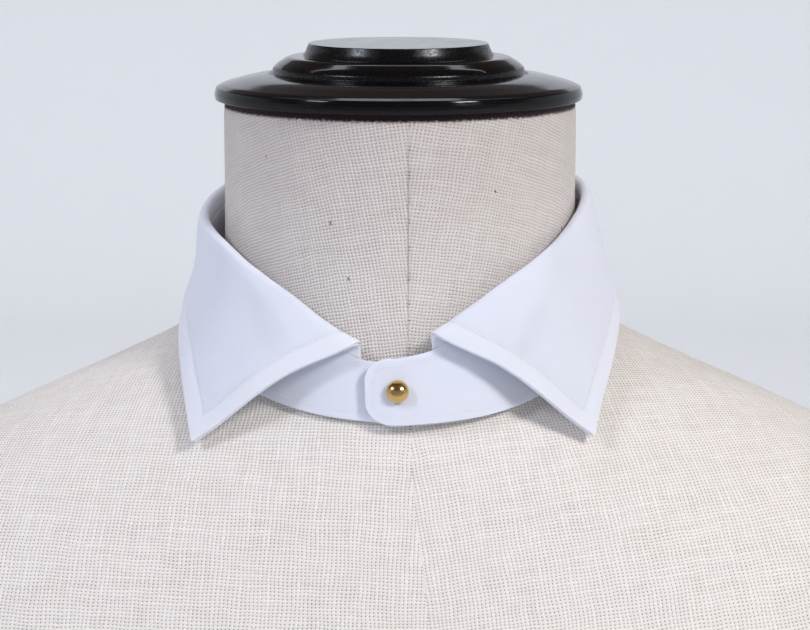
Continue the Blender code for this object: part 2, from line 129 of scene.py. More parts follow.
def grid_mesh(name, points, close_columns=False):
    """A mesh through a grid of points, columns by rows, and its faces' vertex numbers."""
    columns, rows = points.shape[:2]
    number = np.arange(columns * rows).reshape(columns, rows)
    there = np.roll(number, -1, axis=0) if close_columns else number[1:]
    here = number if close_columns else number[:-1]
    faces = np.stack([here[:, :-1], there[:, :-1], there[:, 1:], here[:, 1:]], axis=-1).reshape(-1, 4)
    mesh = bpy.data.meshes.new(name)
    mesh.from_pydata(points.reshape(-1, 3).tolist(), [], faces.tolist())
    return mesh


def place_object(name, mesh, finish):
    """An object at the origin that holds a finished mesh."""
    made = bpy.data.objects.new(name, mesh)
    mesh.materials.clear()
    mesh.materials.append(finish)
    mesh.shade_smooth()
    bpy.context.scene.collection.objects.link(made)
    return made


def turned_points(profile, steps):
    """A grid of points from radii and heights turned about the Z axis."""
    turns = np.radians(np.arange(steps) * 360.0 / steps)
    radius, height = np.array(profile).T
    return np.stack([
        np.outer(np.cos(turns), radius),
        np.outer(np.sin(turns), radius),
        np.broadcast_to(height, (steps, len(height))),
    ], axis=-1)


quarter = np.radians(np.linspace(0, 90, 13))
sweep_profile = [(0.0, 0.0), (0.35, 0.0), (0.8, 0.0)]
sweep_profile += [
    (SWEEP_FLOOR + SWEEP_FILLET * math.sin(a), SWEEP_FILLET * (1 - math.cos(a))) for a in quarter
]
sweep_profile.append((SWEEP_FLOOR + SWEEP_FILLET, SWEEP_HEIGHT))
paper, tree, shader = new_material("seamless_paper", Roughness=0.95)
where = add_node(tree, "ShaderNodeSeparateXYZ", None, {
    0: add_node(tree, "ShaderNodeTexCoord").outputs["Object"]})
# Painted shade: the paper is a shade darker up the wall than on the floor.
wall_shade_share = add_node(tree, "ShaderNodeMapRange", None, {
    "Value": where.outputs["Z"], "From Min": 0.0, "From Max": 0.33})
tone = add_node(tree, "ShaderNodeMix", {"data_type": "RGBA"}, {
    "Factor": wall_shade_share, 6: linear("#e3e6e6"), 7: linear("#dadddd")})
# Painted shade: in front of the form the paper darkens to grey, which keeps the lacquer's reflections dark.
front_shade_share = add_node(tree, "ShaderNodeMapRange", {"interpolation_type": "SMOOTHSTEP"}, {
    "Value": where.outputs["Y"], "From Min": -0.5, "From Max": -1.6})
shaded = add_node(tree, "ShaderNodeMix", {"data_type": "RGBA"}, {
    "Factor": front_shade_share, 6: tone.outputs[2], 7: linear("#a9acb5")})
tree.links.new(shaded.outputs[2], shader.inputs["Base Color"])
# The paper is clear from outside, so a camera that stands behind it still sees the object.
one_sided = add_node(tree, "ShaderNodeMixShader", None, {
    0: add_node(tree, "ShaderNodeNewGeometry").outputs["Backfacing"],
    1: shader.outputs[0], 2: add_node(tree, "ShaderNodeBsdfTransparent")})
tree.links.new(one_sided.outputs[0], tree.nodes["Material Output"].inputs["Surface"])
sweep_mesh = grid_mesh("seamless_sweep", turned_points(sweep_profile, SWEEP_STEPS), True)
sweep_mesh.flip_normals()
sweep = place_object("seamless_sweep", sweep_mesh, paper)

# %% Softboxes and the room
LIGHT_TARGET = Vector((0.0, 0.0, 340 * MM))


def add_softbox(name, azimuth, elevation, distance, width, height, power, colour):
    """An area light aimed at the collar. Azimuth is 0 at the camera's side and grows to the right."""
    lamp = bpy.data.lights.new(name, "AREA")
    lamp.shape = "RECTANGLE"
    lamp.size, lamp.size_y = width, height
    lamp.energy = power
    lamp.color = linear(colour)[:3]
    box = bpy.data.objects.new(name, lamp)
    box.visible_camera = False
    a, e = math.radians(azimuth), math.radians(elevation)
    way = Vector((math.sin(a) * math.cos(e), -math.cos(a) * math.cos(e), math.sin(e)))
    box.location = LIGHT_TARGET + way * distance
    box.rotation_euler = way.to_track_quat("Z", "Y").to_euler()
    bpy.context.scene.collection.objects.link(box)
    return box


add_softbox("right_softbox", 46, 36, 2.6, 0.55, 0.55, 36.0, "#fdfcff")
add_softbox("left_softbox", -57, 36, 2.6, 0.50, 0.50, 21.5, "#e6ebff")
# Pale walls behind the camera and paper low in front throw light back. The lacquer doesn't show them.
for fill in (
    add_softbox("front_wall_fill", 12, 60, 2.4, 1.0, 0.6, 5.0, "#eef1ff"),
    add_softbox("left_wall_fill", -85, 52, 2.2, 1.6, 1.2, 6.5, "#e8eeff"),
    add_softbox("low_front_bounce", 14, -7, 1.3, 1.0, 0.16, 0.85, "#f4f3ff"),
):
    fill.visible_glossy = False

# A sixth light washes the paper behind the form and doesn't reach the form's front.
wash = add_softbox("backdrop_wash", 0, 78, 2.2, 1.6, 1.2, 19.5, "#f6f7ff")
wash.location = (0.0, 0.85, 1.75)
wash.rotation_euler = (math.radians(50), 0.0, 0.0)

room = bpy.data.worlds.new("dim_room")
room.use_nodes = True
bpy.context.scene.world = room
tree = room.node_tree
height = add_node(tree, "ShaderNodeSeparateXYZ", None, {
    0: add_node(tree, "ShaderNodeTexCoord").outputs["Generated"]})
lift = add_node(tree, "ShaderNodeMapRange", None, {
    "Value": height.outputs["Z"], "From Min": 0.15, "From Max": 0.6})
glow = add_node(tree, "ShaderNodeMix", {"data_type": "RGBA"}, {
    "Factor": lift, 6: linear("#d9dce6"), 7: linear("#a8958f")})
tree.links.new(glow.outputs[2], tree.nodes["Background"].inputs["Color"])
tree.nodes["Background"].inputs["Strength"].default_value = 0.3

# %% [markdown]
# ## Sizes of the collar and the form
#
# These tables are the driving sizes of the CAD model. A row gives sizes at one turn round the
# neck: 0 is the centre front, 90 the viewer's right and 180 the centre back. A drop is measured
# down from the top of the linen neck. A smooth curve through the rows gives every turn between.


# %% Tables and the curve through them
def table(columns, *rows):
    """Rows of numbers under named columns."""
    names = columns.split()
    return [dict(zip(names, row)) for row in rows]


FOLD = table(
    "turn   left   right  rise  roll  left_belly  right_belly  left_out  right_out",
    (0,     68.4,  66.8,  5.6,  3.6,  2.0,        2.0,         0.0,      0.0),
    (10,    67.7,  64.3,  5.6,  3.6,  2.0,        2.0,         0.0,      0.0),
    (20,    62.1,  57.6,  6.2,  3.2,  1.8,        1.8,         0.0,      0.0),
    (32,    53.6,  50.2,  7.2,  2.6,  0.8,        1.2,         0.0,      0.0),
    (46,    47.4,  43.9,  8.0,  2.0,  0.0,        1.0,         0.0,      0.0),
    (62,    41.2,  37.6,  7.4,  1.7,  -0.8,       0.6,         0.0,      -0.3),
    (90,    34.1,  26.9,  6.2,  1.6,  -1.2,       0.2,         1.6,      1.0),
    (115,   27.7,  23.7,  6.0,  1.6,  -0.8,       0.1,         0.2,      0.0),
    (145,   25.2,  23.6,  6.0,  1.6,  -0.3,       0.0,         0.1,      0.0),
    (180,   23.8,  23.8,  6.0,  1.6,  0.0,        0.0,         0.0,      0.0),
)
BAND_BOTTOM = table(
    "turn   drop",
    (0,     91.5), (20, 90.0), (32, 88.0), (45, 84.6), (60, 78.0),
    (75,    71.4), (90, 66.5), (120, 62.0), (150, 59.5), (180, 59.0),
)
LEAF_EDGE = table(
    "turn   left   right  y      left_drop  right_drop",
    (10.5,  64.7,  60.5,  -66.0, 98.8,      96.8),
    (20,    66.6,  62.6,  -57.5, 91.4,      90.4),
    (35,    69.2,  66.4,  -44.5, 80.9,      80.9),
    (50,    71.0,  69.6,  -30.0, 72.8,      73.6),
    (70,    72.0,  72.2,  -8.0,  68.2,      67.4),
    (90,    71.4,  71.6,  15.5,  67.2,      66.8),
    (115,   61.8,  61.8,  42.6,  66.8,      66.4),
    (145,   37.4,  37.4,  66.4,  66.2,      66.0),
    (180,   0.0,   0.0,   77.0,  66.0,      66.0),
)


def smooth(pairs, at):
    """The value at a turn, on a smooth curve through pairs of turn and value."""
    at = min(max(at, pairs[0][0]), pairs[-1][0])
    last = len(pairs) - 1
    index = max(i for i in range(last) if pairs[i][0] <= at)
    (x0, y0), (x1, y1) = pairs[index], pairs[index + 1]

    def slope(i):
        low, high = max(i - 1, 0), min(i + 1, last)
        return (pairs[high][1] - pairs[low][1]) / (pairs[high][0] - pairs[low][0])

    span = x1 - x0
    t = (at - x0) / span
    return (
        y0 * (2 * t**3 - 3 * t**2 + 1)
        + y1 * (3 * t**2 - 2 * t**3)
        + slope(index) * span * (t**3 - 2 * t**2 + t)
        + slope(index + 1) * span * (t**3 - t**2)
    )


def all_round(rows, turn, right, left, right_sign=1.0, left_sign=1.0):
    """One column of a collar table at any turn from 0 to 360."""
    there = [(row["turn"], right_sign * row[right]) for row in rows]
    back_again = [(360 - row["turn"], left_sign * row[left]) for row in reversed(rows[:-1])]
    return smooth(there + back_again, turn)


print("the fold is", FOLD[0]["right"], "mm below the neck's top at the centre front")

# %% [markdown]
# ## The collar's band and leaf as lines in space
#
# The band stands round the neck. The leaf is sewn on above it, rises a little, turns over at the
# fold and falls to its outer edge. Real collar cloth with its fused lining is about 0.65 mm thick,
# thinner than the CAD solids, so its fold also turns tighter than theirs. Pressed cloth leaves a
# fold at a slant and only then bends down, and that soft shoulder catches a broad band of light.

# %% Band and leaf sizes
PLY = 0.65 * MM
HALF_GAP = 0.14 * MM
SEAM_GAP = PLY + 0.04 * MM
BAND_LOW = {"half_width": 65.2 * MM, "half_depth": 68.0 * MM, "centre_y": -5.0 * MM, "lean_x": 0.0}
BAND_HIGH = {"half_width": 61.4 * MM, "half_depth": 64.0 * MM, "centre_y": -2.2 * MM, "lean_x": -1.2 * MM}
LAP_STEP = 3.0 * MM
LAP_FADE_TURN = 60.0
BAND_END_TURN = 8.5
BAND_NOSE = 8.0 * MM
BAND_NOSE_END_SHARE = 0.34
LEAF_START_TURN = 10.5
ROLL_TIGHTER = 0.8 * MM
FRONT_BOW = 2.2 * MM
FRONT_BOW_PEAK = 0.4
FRONT_BOW_FADE_TURN = 22.0
SHOULDER_SLOPE_FRONT = 0.46
SHOULDER_SLOPE_SIDE = 0.12
SHOULDER_FADE_TURN = 70.0
SHOULDER_REACH = 5.0 * MM


def place(x, y, drop):
    """A point given from the neck's axis and the neck's top."""
    return Vector((x, y + NECK_AXIS_Y, NECK_TOP - drop))


def neck_ring(turn, drop, half_width, half_depth, centre_y, lean_x):
    """A point on an oval round the neck."""
    angle = math.radians(turn)
    return place(lean_x + half_width * math.sin(angle), centre_y - half_depth * math.cos(angle), drop)


def ease(share):
    """A share from 0 to 1, eased at both ends."""
    share = min(max(share, 0.0), 1.0)
    return share * share * (3.0 - 2.0 * share)


def hump(share, peak):
    """A curve that is 0 at shares 0 and 1, and 1 at its peak."""
    if share < peak:
        return math.sin(math.pi / 2 * share / peak) ** 2
    return math.sin(math.pi / 2 * (1.0 - share) / (1.0 - peak)) ** 2


def lap_offset(turn):
    """How far the band's upper end stands out, to pass over its other end at the front."""
    return LAP_STEP * ease(1.0 - turn / LAP_FADE_TURN)


def band_edge(turn, top):
    """A point on the middle of the band's cloth, at its lower edge or at its seam with the leaf."""
    folded = min(max(turn, 0.0), 360.0)
    if top:
        drop = all_round(FOLD, folded, "right", "left") + all_round(FOLD, folded, "rise", "rise")
        point = neck_ring(turn, drop * MM, **BAND_HIGH)
    else:
        point = neck_ring(turn, all_round(BAND_BOTTOM, folded, "drop", "drop") * MM, **BAND_LOW)
    angle = math.radians(turn)
    out = lap_offset(turn)
    if top:
        out += all_round(FOLD, folded, "right_out", "left_out") * MM
    return point + out * Vector((math.sin(angle), -math.cos(angle), 0.0))


def band_frame(turn):
    """The way up the band's cloth and the way out of it, where the leaf is sewn on."""
    up = (band_edge(turn, True) - band_edge(turn, False)).normalized()
    along = (band_edge(turn + 1.0, True) - band_edge(turn - 1.0, True)).normalized()
    return up, along.cross(up).normalized()


round_the_band = [band_edge(turn, True) for turn in range(0, 361, 2)]
collar_round = sum((b - a).length for a, b in zip(round_the_band, round_the_band[1:]))
print("collar size round the band:", round(collar_round * 100, 1), "cm")

# %% The leaf's cross-section at one turn
ROLL_STEPS = 12
FALL_STEPS = 60


def leaf_section(turn):
    """Three runs of points on the middle of the leaf: the rise, the turn over and the fall."""
    up, out = band_frame(turn)
    seam = band_edge(turn, True) + up * SEAM_GAP
    edge = place(
        all_round(LEAF_EDGE, turn, "right", "left", 1.0, -1.0) * MM,
        all_round(LEAF_EDGE, turn, "y", "y") * MM,
        all_round(LEAF_EDGE, turn, "right_drop", "left_drop") * MM,
    )
    roll = all_round(FOLD, turn, "roll", "roll") * MM - ROLL_TIGHTER
    rise = all_round(FOLD, turn, "rise", "rise") * MM
    belly = all_round(FOLD, turn, "right_belly", "left_belly") * MM
    straight = rise - roll - PLY - HALF_GAP - SEAM_GAP
    apex = seam + up * (straight + roll) + out * roll
    rise_run = [seam.lerp(seam + up * straight, i / 3) for i in range(4)]

    to_edge = edge - apex
    edge_out = to_edge.dot(out)
    down = to_edge - out * edge_out
    edge_down = down.length
    down.normalize()
    reach = math.hypot(edge_down - roll, edge_out)
    leave = math.atan2(edge_down - roll, edge_out) - math.acos(min(1.0, roll / reach))
    from_front = min(turn, 360.0 - turn)
    slope = SHOULDER_SLOPE_FRONT - SHOULDER_SLOPE_SIDE
    slope = SHOULDER_SLOPE_SIDE + slope * ease(1.6 * (1.0 - from_front / SHOULDER_FADE_TURN))
    leave -= math.atan(slope)
    roll_run = []
    for step in range(ROLL_STEPS + 1):
        angle = (math.pi + leave) * step / ROLL_STEPS - math.pi
        side = down if angle > -math.pi / 2 else up * -1.0
        roll_run.append(apex + out * roll * math.cos(angle) + side * roll * (1.0 + math.sin(angle)))
    start = roll_run[-1]
    fall_length = (edge - start).length
    chord = (edge - start) / fall_length
    way = down * math.cos(leave) - out * math.sin(leave)
    normal = (way - chord * way.dot(chord)).normalized()
    bulge = SHOULDER_REACH * way.dot(normal) / way.dot(chord)
    aside = (up - down * up.dot(down)).normalized()
    bow = FRONT_BOW * ease(1.0 - (from_front - LEAF_START_TURN) / FRONT_BOW_FADE_TURN)
    fall_run = []
    for step in range(FALL_STEPS + 1):
        share = step / FALL_STEPS
        shoulder = bulge * (1.0 - math.exp(-share * fall_length / SHOULDER_REACH)) * (1.0 - share)
        outwards = normal * (belly * hump(share, 0.5) + shoulder)
        fall_run.append(start.lerp(edge, share) + outwards + aside * bow * hump(share, FRONT_BOW_PEAK))
    return rise_run, roll_run, fall_run


print("points in a section:", sum(len(run) for run in leaf_section(90.0)))

# %% Columns and rows of the leaf
# The cloth needs its finest mesh where the sewing dents it: near the outer edge and both fronts.
FRONT_STEP_TURN = 0.36
FRONT_COLUMNS = 26
MIDDLE_COLUMNS = 160
EDGE_STRIP = 9.0 * MM
EDGE_ROWS = 21
FALL_ROWS = 22


def resampled(points, lengths):
    """Points at given lengths along a line."""
    points = np.array(points)
    steps = np.linalg.norm(np.diff(points, axis=0), axis=1)
    along = np.concatenate(([0.0], np.cumsum(steps)))
    return np.stack([np.interp(lengths, along, points[:, axis]) for axis in range(3)], axis=1)


def leaf_turns():
    """The leaf's columns, close together at both front edges."""
    near = [LEAF_START_TURN + FRONT_STEP_TURN * i for i in range(FRONT_COLUMNS)]
    first = LEAF_START_TURN + FRONT_STEP_TURN * FRONT_COLUMNS
    middle = [first + (360 - 2 * first) * i / MIDDLE_COLUMNS for i in range(MIDDLE_COLUMNS + 1)]
    return near + middle + [360 - turn for turn in reversed(near)]


def leaf_column(turn):
    """One column of the leaf, from its seam to its outer edge."""
    rise_run, roll_run, fall_run = leaf_section(turn)
    fall = np.array(fall_run)
    length = np.linalg.norm(np.diff(fall, axis=0), axis=1).sum()
    upper = np.linspace(0.0, length - EDGE_STRIP, FALL_ROWS + 1)
    lower = np.linspace(length - EDGE_STRIP, length, EDGE_ROWS + 1)[1:]
    return np.concatenate([
        np.array(rise_run)[:-1], np.array(roll_run)[:-1], resampled(fall, np.concatenate([upper, lower]))
    ])


leaf = np.stack([leaf_column(turn) for turn in leaf_turns()])
print("leaf grid:", leaf.shape[0], "columns by", leaf.shape[1], "rows")

# %% [markdown]
# ## A helper that turns a grid into a ply of cloth
#
# A ply of cloth is an open grid given a thickness: one face on each side and a half-round rim all
# round, as a turned and pressed edge has. A Solidify modifier leaves a square rim, so the faces and
# the rim are built in code, and each face can also be raised or dented by its own amounts. The UV
# map holds real millimetres, so a weave keeps its scale.

# %% Plies of cloth
RIM_STEPS = 5


def grid_normals(points):
    """Unit directions across a grid of points, to the left of its columns' way."""
    across = np.cross(np.gradient(points, axis=0), np.gradient(points, axis=1))
    return across / np.linalg.norm(across, axis=-1, keepdims=True)


def border_numbers(columns, rows):
    """The numbers of a grid's border points, in order once round."""
    number = np.arange(columns * rows).reshape(columns, rows)
    return np.concatenate([number[0, :-1], number[:-1, -1], number[-1, :0:-1], number[:0:-1, 0]])


def cloth_ply(name, points, near, far, uv, finish, normals=None):
    """A closed ply between two distances out of a grid. A distance may differ from point to point."""
    columns, rows = points.shape[:2]
    if normals is None:
        normals = grid_normals(points)
    flat, out = points.reshape(-1, 3), normals.reshape(-1, 3)
    near = np.broadcast_to(near, (columns, rows)).reshape(-1, 1)
    far = np.broadcast_to(far, (columns, rows)).reshape(-1, 1)
    count = columns * rows
    border = border_numbers(columns, rows)
    middle = flat[border] + out[border] * (near[border] + far[border]) / 2
    run = np.roll(middle, -1, axis=0) - np.roll(middle, 1, axis=0)
    aside = np.cross(run, out[border])
    aside /= np.linalg.norm(aside, axis=1, keepdims=True)
    half = (far[border] - near[border]) / 2
    number = np.arange(count).reshape(columns, rows)
    grid_in = points[np.clip(border // rows, 1, columns - 2), np.clip(border % rows, 1, rows - 2)]
    flip = np.sign(np.sum(aside * (grid_in - flat[border]), axis=1, keepdims=True))
    aside *= -np.where(flip == 0, 1, flip)
    rim = [
        middle + half * (out[border] * math.cos(a) + aside * math.sin(a))
        for a in np.linspace(0, math.pi, RIM_STEPS + 1)[1:-1]
    ]
    vertices = np.concatenate([flat + out * far, flat + out * near] + rim)
    here = number[:-1, :-1], number[1:, :-1], number[1:, 1:], number[:-1, 1:]
    top = np.stack([part.reshape(-1) for part in here], axis=1)
    faces = [top, top[:, ::-1] + count]
    loops = [border]
    loops += [2 * count + i * len(border) + np.arange(len(border)) for i in range(RIM_STEPS - 1)]
    loops.append(border + count)
    for upper, lower in zip(loops, loops[1:]):
        faces.append(np.stack([upper, np.roll(upper, -1), np.roll(lower, -1), lower], axis=1))
    faces = np.concatenate(faces)
    mesh = bpy.data.meshes.new(name)
    mesh.from_pydata(vertices.tolist(), [], faces.tolist())
    flat_uv = uv.reshape(-1, 2)
    all_uv = np.concatenate([flat_uv, flat_uv] + [flat_uv[border]] * (RIM_STEPS - 1))
    corner = np.zeros(len(mesh.loops), dtype=np.int32)
    mesh.loops.foreach_get("vertex_index", corner)
    layer = mesh.uv_layers.new(name="cloth_mm")
    layer.data.foreach_set("uv", all_uv[corner].reshape(-1).astype(np.float32))
    made = place_object(name, mesh, finish)
    face_outwards(made)
    return made


def face_outwards(piece):
    """Turns every face of a closed piece outwards."""
    mesh = piece.data
    mesh.calc_loop_triangles()
    points = np.zeros(len(mesh.vertices) * 3)
    mesh.vertices.foreach_get("co", points)
    points = points.reshape(-1, 3)
    corners = np.zeros(len(mesh.loop_triangles) * 3, dtype=np.int32)
    mesh.loop_triangles.foreach_get("vertices", corners)
    a, b, c = (points[corners.reshape(-1, 3)[:, i]] for i in range(3))
    volume = np.einsum("ij,ij->i", a, np.cross(b, c)).sum() / 6
    if volume < 0:
        mesh.flip_normals()


def surface_uv(points):
    """Millimetres along and up a grid, measured on its surface."""
    along = np.linalg.norm(np.diff(points, axis=0), axis=2).mean(axis=1)
    up = np.linalg.norm(np.diff(points, axis=1), axis=2).mean(axis=0)
    u = np.concatenate(([0.0], np.cumsum(along))) / MM
    v = np.concatenate(([0.0], np.cumsum(up))) / MM
    return np.stack(np.meshgrid(u, v, indexing="ij"), axis=-1)


def sheet_area(points):
    """The area of a grid of points."""
    across = np.diff(points, axis=0)[:, :-1]
    up = np.diff(points, axis=1)[:-1]
    return float(np.linalg.norm(np.cross(across, up), axis=2).sum())


print("a rim has", RIM_STEPS, "steps")

# %% [markdown]
# ## Cotton poplin
#
# The collar is bleached cotton poplin, fused to a stiff lining and pressed. Its threads are about
# 0.25 mm apart, too fine for the picture, so a very shallow rib twice as coarse stands for them.
# Pressing leaves it matte with a faint cool sheen and barely any texture. The strip outside the
# topstitching holds the turned seam allowances, so it is a little denser and whiter.

# %% Poplin and thread
RIB_PITCH_MM = 0.5

poplin, tree, shader = new_material(
    "bleached_cotton_poplin", Roughness=0.82, Sheen_Weight=0.12, Sheen_Roughness=0.45,
    Specular_IOR_Level=0.3, Subsurface_Weight=0.5, Subsurface_Scale=2.0 * MM,
    Subsurface_Radius=(1.0, 1.0, 1.0),
)
cloth_uv = add_node(tree, "ShaderNodeUVMap", {"uv_map": "cloth_mm"})
rib = add_node(tree, "ShaderNodeTexWave", {"bands_direction": "Y"}, {
    "Vector": cloth_uv, "Scale": 0.314 / RIB_PITCH_MM, "Distortion": 1.2, "Detail": 2.0})
fibre = add_node(tree, "ShaderNodeTexNoise", None, {"Vector": cloth_uv, "Scale": 1.6, "Detail": 4.0})
grain = add_node(tree, "ShaderNodeMath", {"operation": "MULTIPLY_ADD"}, {
    0: fibre, 1: 0.7, 2: rib.outputs["Fac"]})
relief = add_node(tree, "ShaderNodeBump", None, {"Strength": 0.25, "Distance": 0.05 * MM, "Height": grain})
cloud = add_node(tree, "ShaderNodeTexNoise", None, {"Vector": cloth_uv, "Scale": 0.05, "Detail": 3.0})
whiteness = add_node(tree, "ShaderNodeMix", {"data_type": "RGBA"}, {
    "Factor": cloud, 6: linear("#eaf0fe"), 7: linear("#eef3ff")})
layers = add_node(tree, "ShaderNodeAttribute", {"attribute_name": "seam_layers"})
denser = add_node(tree, "ShaderNodeMix", {"data_type": "RGBA"}, {
    "Factor": layers.outputs["Fac"], 6: whiteness.outputs[2], 7: linear("#f1f5ff")})
tree.links.new(denser.outputs[2], shader.inputs["Base Color"])
tree.links.new(relief.outputs[0], shader.inputs["Normal"])

cotton_thread, tree, shader = new_material(
    "mercerised_cotton_thread", Roughness=0.55, Sheen_Weight=0.2, Specular_IOR_Level=0.4)
strand = add_node(tree, "ShaderNodeTexNoise", None, {
    "Vector": add_node(tree, "ShaderNodeTexCoord").outputs["Object"], "Scale": 2500.0, "Detail": 2.0})
thread_tone = add_node(tree, "ShaderNodeMix", {"data_type": "RGBA"}, {
    "Factor": strand, 6: linear("#ebeef8"), 7: linear("#fafbff")})
tree.links.new(thread_tone.outputs[2], shader.inputs["Base Color"])
print("made", poplin.name, "and", cotton_thread.name)

# %% [markdown]
# ## The upper and the under leaf
#
# The upper leaf is what shows. Its topstitching sits about 5.8 mm inside the outer edge and both
# fronts: it pulls a shallow groove, and the seam allowances puff up the strip outside it. The
# pressed cloth also undulates by a quarter of a millimetre, and a few soft creases are listed one
# by one, where the leaf bends to the fold and to its points. The under leaf has the same shape and is
# drawn in a little at its edges, as a tailor cuts it so that it never shows.

# %% Leaf relief
STITCH_INSET = 5.8 * MM
GROOVE_DEPTH = 0.15 * MM
GROOVE_WIDTH = 0.6 * MM
PUFF = 0.22 * MM
UNDULATION = 0.28 * MM
CREASES = table(
    "from_x  from_drop  to_x   to_drop  width  height",
    (-49.0,  53.0,      -40.0, 70.0,    3.0,   -0.18),
    (-45.0,  50.0,      -31.0, 66.0,    3.2,   0.24),
    (46.0,   48.0,      39.0,  58.0,    3.2,   0.22),
    (43.0,   60.0,      38.5,  70.0,    2.4,   -0.24),
    (57.0,   74.0,      60.0,  89.0,    1.8,   0.20),
)


def distance_to_line(points, line):
    """The distance from each point to a line of points."""
    nearest = np.full(points.shape[:-1], np.inf)
    for start, end in zip(line[:-1], line[1:]):
        along = end - start
        share = np.clip((points - start) @ along / (along @ along), 0.0, 1.0)
        gap = np.linalg.norm(points - start - share[..., None] * along, axis=-1)
        nearest = np.minimum(nearest, gap)
    return nearest


outer_distance = distance_to_line(leaf, leaf[:, -1])
front_distance = np.minimum(distance_to_line(leaf, leaf[0]), distance_to_line(leaf, leaf[-1]))
edge_distance = np.minimum(outer_distance, front_distance)
strip = np.clip(edge_distance / STITCH_INSET, 0.0, 1.0)
puff = PUFF * np.sin(math.pi * strip) ** 0.8
groove = -GROOVE_DEPTH * np.exp(-(((edge_distance - STITCH_INSET) / GROOVE_WIDTH) ** 2))
waves = np.array([
    [noise.noise(Vector(point) / 0.024) + 0.4 * noise.noise(Vector(point) / 0.009) for point in column]
    for column in leaf
])
leaf_relief = puff + groove + UNDULATION * waves * np.clip(edge_distance / 0.01, 0.2, 1.0)
front_view = leaf[..., [0, 2]]
for crease in CREASES:
    ends = np.array([
        [crease["from_x"] * MM, NECK_TOP - crease["from_drop"] * MM],
        [crease["to_x"] * MM, NECK_TOP - crease["to_drop"] * MM],
    ])
    reach = distance_to_line(front_view, ends) / (crease["width"] * MM)
    leaf_relief += crease["height"] * MM * np.exp(-reach**2) * (leaf[..., 1] < 0)
print("leaf relief from", round(leaf_relief.min() / MM, 2), "to", round(leaf_relief.max() / MM, 2), "mm")

# %% Leaf plies
UNDER_INSET_ROWS = 1


def add_seam_layers(piece, distance):
    """Keeps on the cloth how far each point is inside the strip with the seam allowances."""
    columns, rows = distance.shape
    value = np.clip((STITCH_INSET - distance) / (0.9 * MM) + 0.5, 0.0, 1.0).reshape(-1)
    border = border_numbers(columns, rows)
    value = np.concatenate([value, value] + [value[border]] * (RIM_STEPS - 1))
    layer = piece.data.attributes.new("seam_layers", "FLOAT", "POINT")
    layer.data.foreach_set("value", value.astype(np.float32))


leaf_out = -grid_normals(leaf)
leaf_uv = surface_uv(leaf)
upper_leaf = cloth_ply(
    "upper_leaf_cloth", leaf, HALF_GAP, HALF_GAP + PLY + leaf_relief, leaf_uv, poplin, leaf_out
)
add_seam_layers(upper_leaf, edge_distance)
inset = (slice(None), slice(0, -UNDER_INSET_ROWS))
under_leaf = cloth_ply(
    "under_leaf_cloth", leaf[inset], -HALF_GAP - PLY, -HALF_GAP, leaf_uv[inset], poplin, leaf_out[inset]
)
add_seam_layers(under_leaf, edge_distance[inset])
print("upper leaf:", len(upper_leaf.data.polygons), "faces, cut area", round(sheet_area(leaf) * 1e4), "cm2")

# %% [markdown]
# ## Stitches by Geometry Nodes
#
# A stitch is a short, slightly domed length of thread between two needle holes, repeated at an even
# pitch along a path. That is a rule, so one Geometry Nodes tree makes every row of sewing: it
# spaces points along a path, puts a small rounded thread on each and turns it along the path. A
# buttonhole's threads lie across the path instead, so the size across it is an input of its own.


# %% The stitch tree
def build_stitch_tree():
    """A tree that sets stitches along a path of edges."""
    tree = bpy.data.node_groups.new("stitches_along_a_path", "GeometryNodeTree")
    sockets = (
        ("Path", "INPUT", "NodeSocketGeometry"), ("Pitch", "INPUT", "NodeSocketFloat"),
        ("Along", "INPUT", "NodeSocketFloat"), ("Across", "INPUT", "NodeSocketFloat"),
        ("Height", "INPUT", "NodeSocketFloat"), ("Out", "INPUT", "NodeSocketVector"),
        ("Unevenness", "INPUT", "NodeSocketFloat"), ("Seed", "INPUT", "NodeSocketInt"),
        ("Thread", "INPUT", "NodeSocketMaterial"), ("Stitches", "OUTPUT", "NodeSocketGeometry"),
    )
    for name, way, kind in sockets:
        tree.interface.new_socket(name=name, in_out=way, socket_type=kind)
    given = add_node(tree, "NodeGroupInput").outputs
    curve = add_node(tree, "GeometryNodeMeshToCurve", None, {0: given["Path"]})
    spaced = add_node(tree, "GeometryNodeResampleCurve", {"mode": "LENGTH"}, {
        "Curve": curve, "Length": given["Pitch"]})
    ball = add_node(tree, "GeometryNodeMeshUVSphere", None, {"Segments": 8, "Rings": 6, "Radius": 0.5})
    size = add_node(tree, "ShaderNodeCombineXYZ", None, {
        0: given["Across"], 1: given["Height"], 2: given["Along"]})
    stitch = add_node(tree, "GeometryNodeTransform", None, {"Geometry": ball.outputs["Mesh"], "Scale": size})
    way = add_node(tree, "FunctionNodeAlignRotationToVector", {"axis": "Z"}, {
        "Vector": add_node(tree, "GeometryNodeInputTangent")})
    flat = add_node(tree, "FunctionNodeAlignRotationToVector", {"axis": "Y", "pivot_axis": "Z"}, {
        "Rotation": way, "Vector": given["Out"]})
    least = add_node(tree, "ShaderNodeMath", {"operation": "SUBTRACT"}, {0: 1.0, 1: given["Unevenness"]})
    most = add_node(tree, "ShaderNodeMath", {"operation": "ADD"}, {0: 1.0, 1: given["Unevenness"]})
    scale = add_node(tree, "FunctionNodeRandomValue", {"data_type": "FLOAT"}, {
        2: least, 3: most, "Seed": given["Seed"]})
    row = add_node(tree, "GeometryNodeInstanceOnPoints", None, {
        "Points": spaced, "Instance": stitch, "Rotation": flat, "Scale": scale.outputs[1]})
    real = add_node(tree, "GeometryNodeRealizeInstances", None, {0: row})
    soft = add_node(tree, "GeometryNodeSetShadeSmooth", None, {0: real})
    finished = add_node(tree, "GeometryNodeSetMaterial", None, {0: soft, "Material": given["Thread"]})
    add_node(tree, "NodeGroupOutput", None, {"Stitches": finished})
    return tree


stitch_tree = build_stitch_tree()


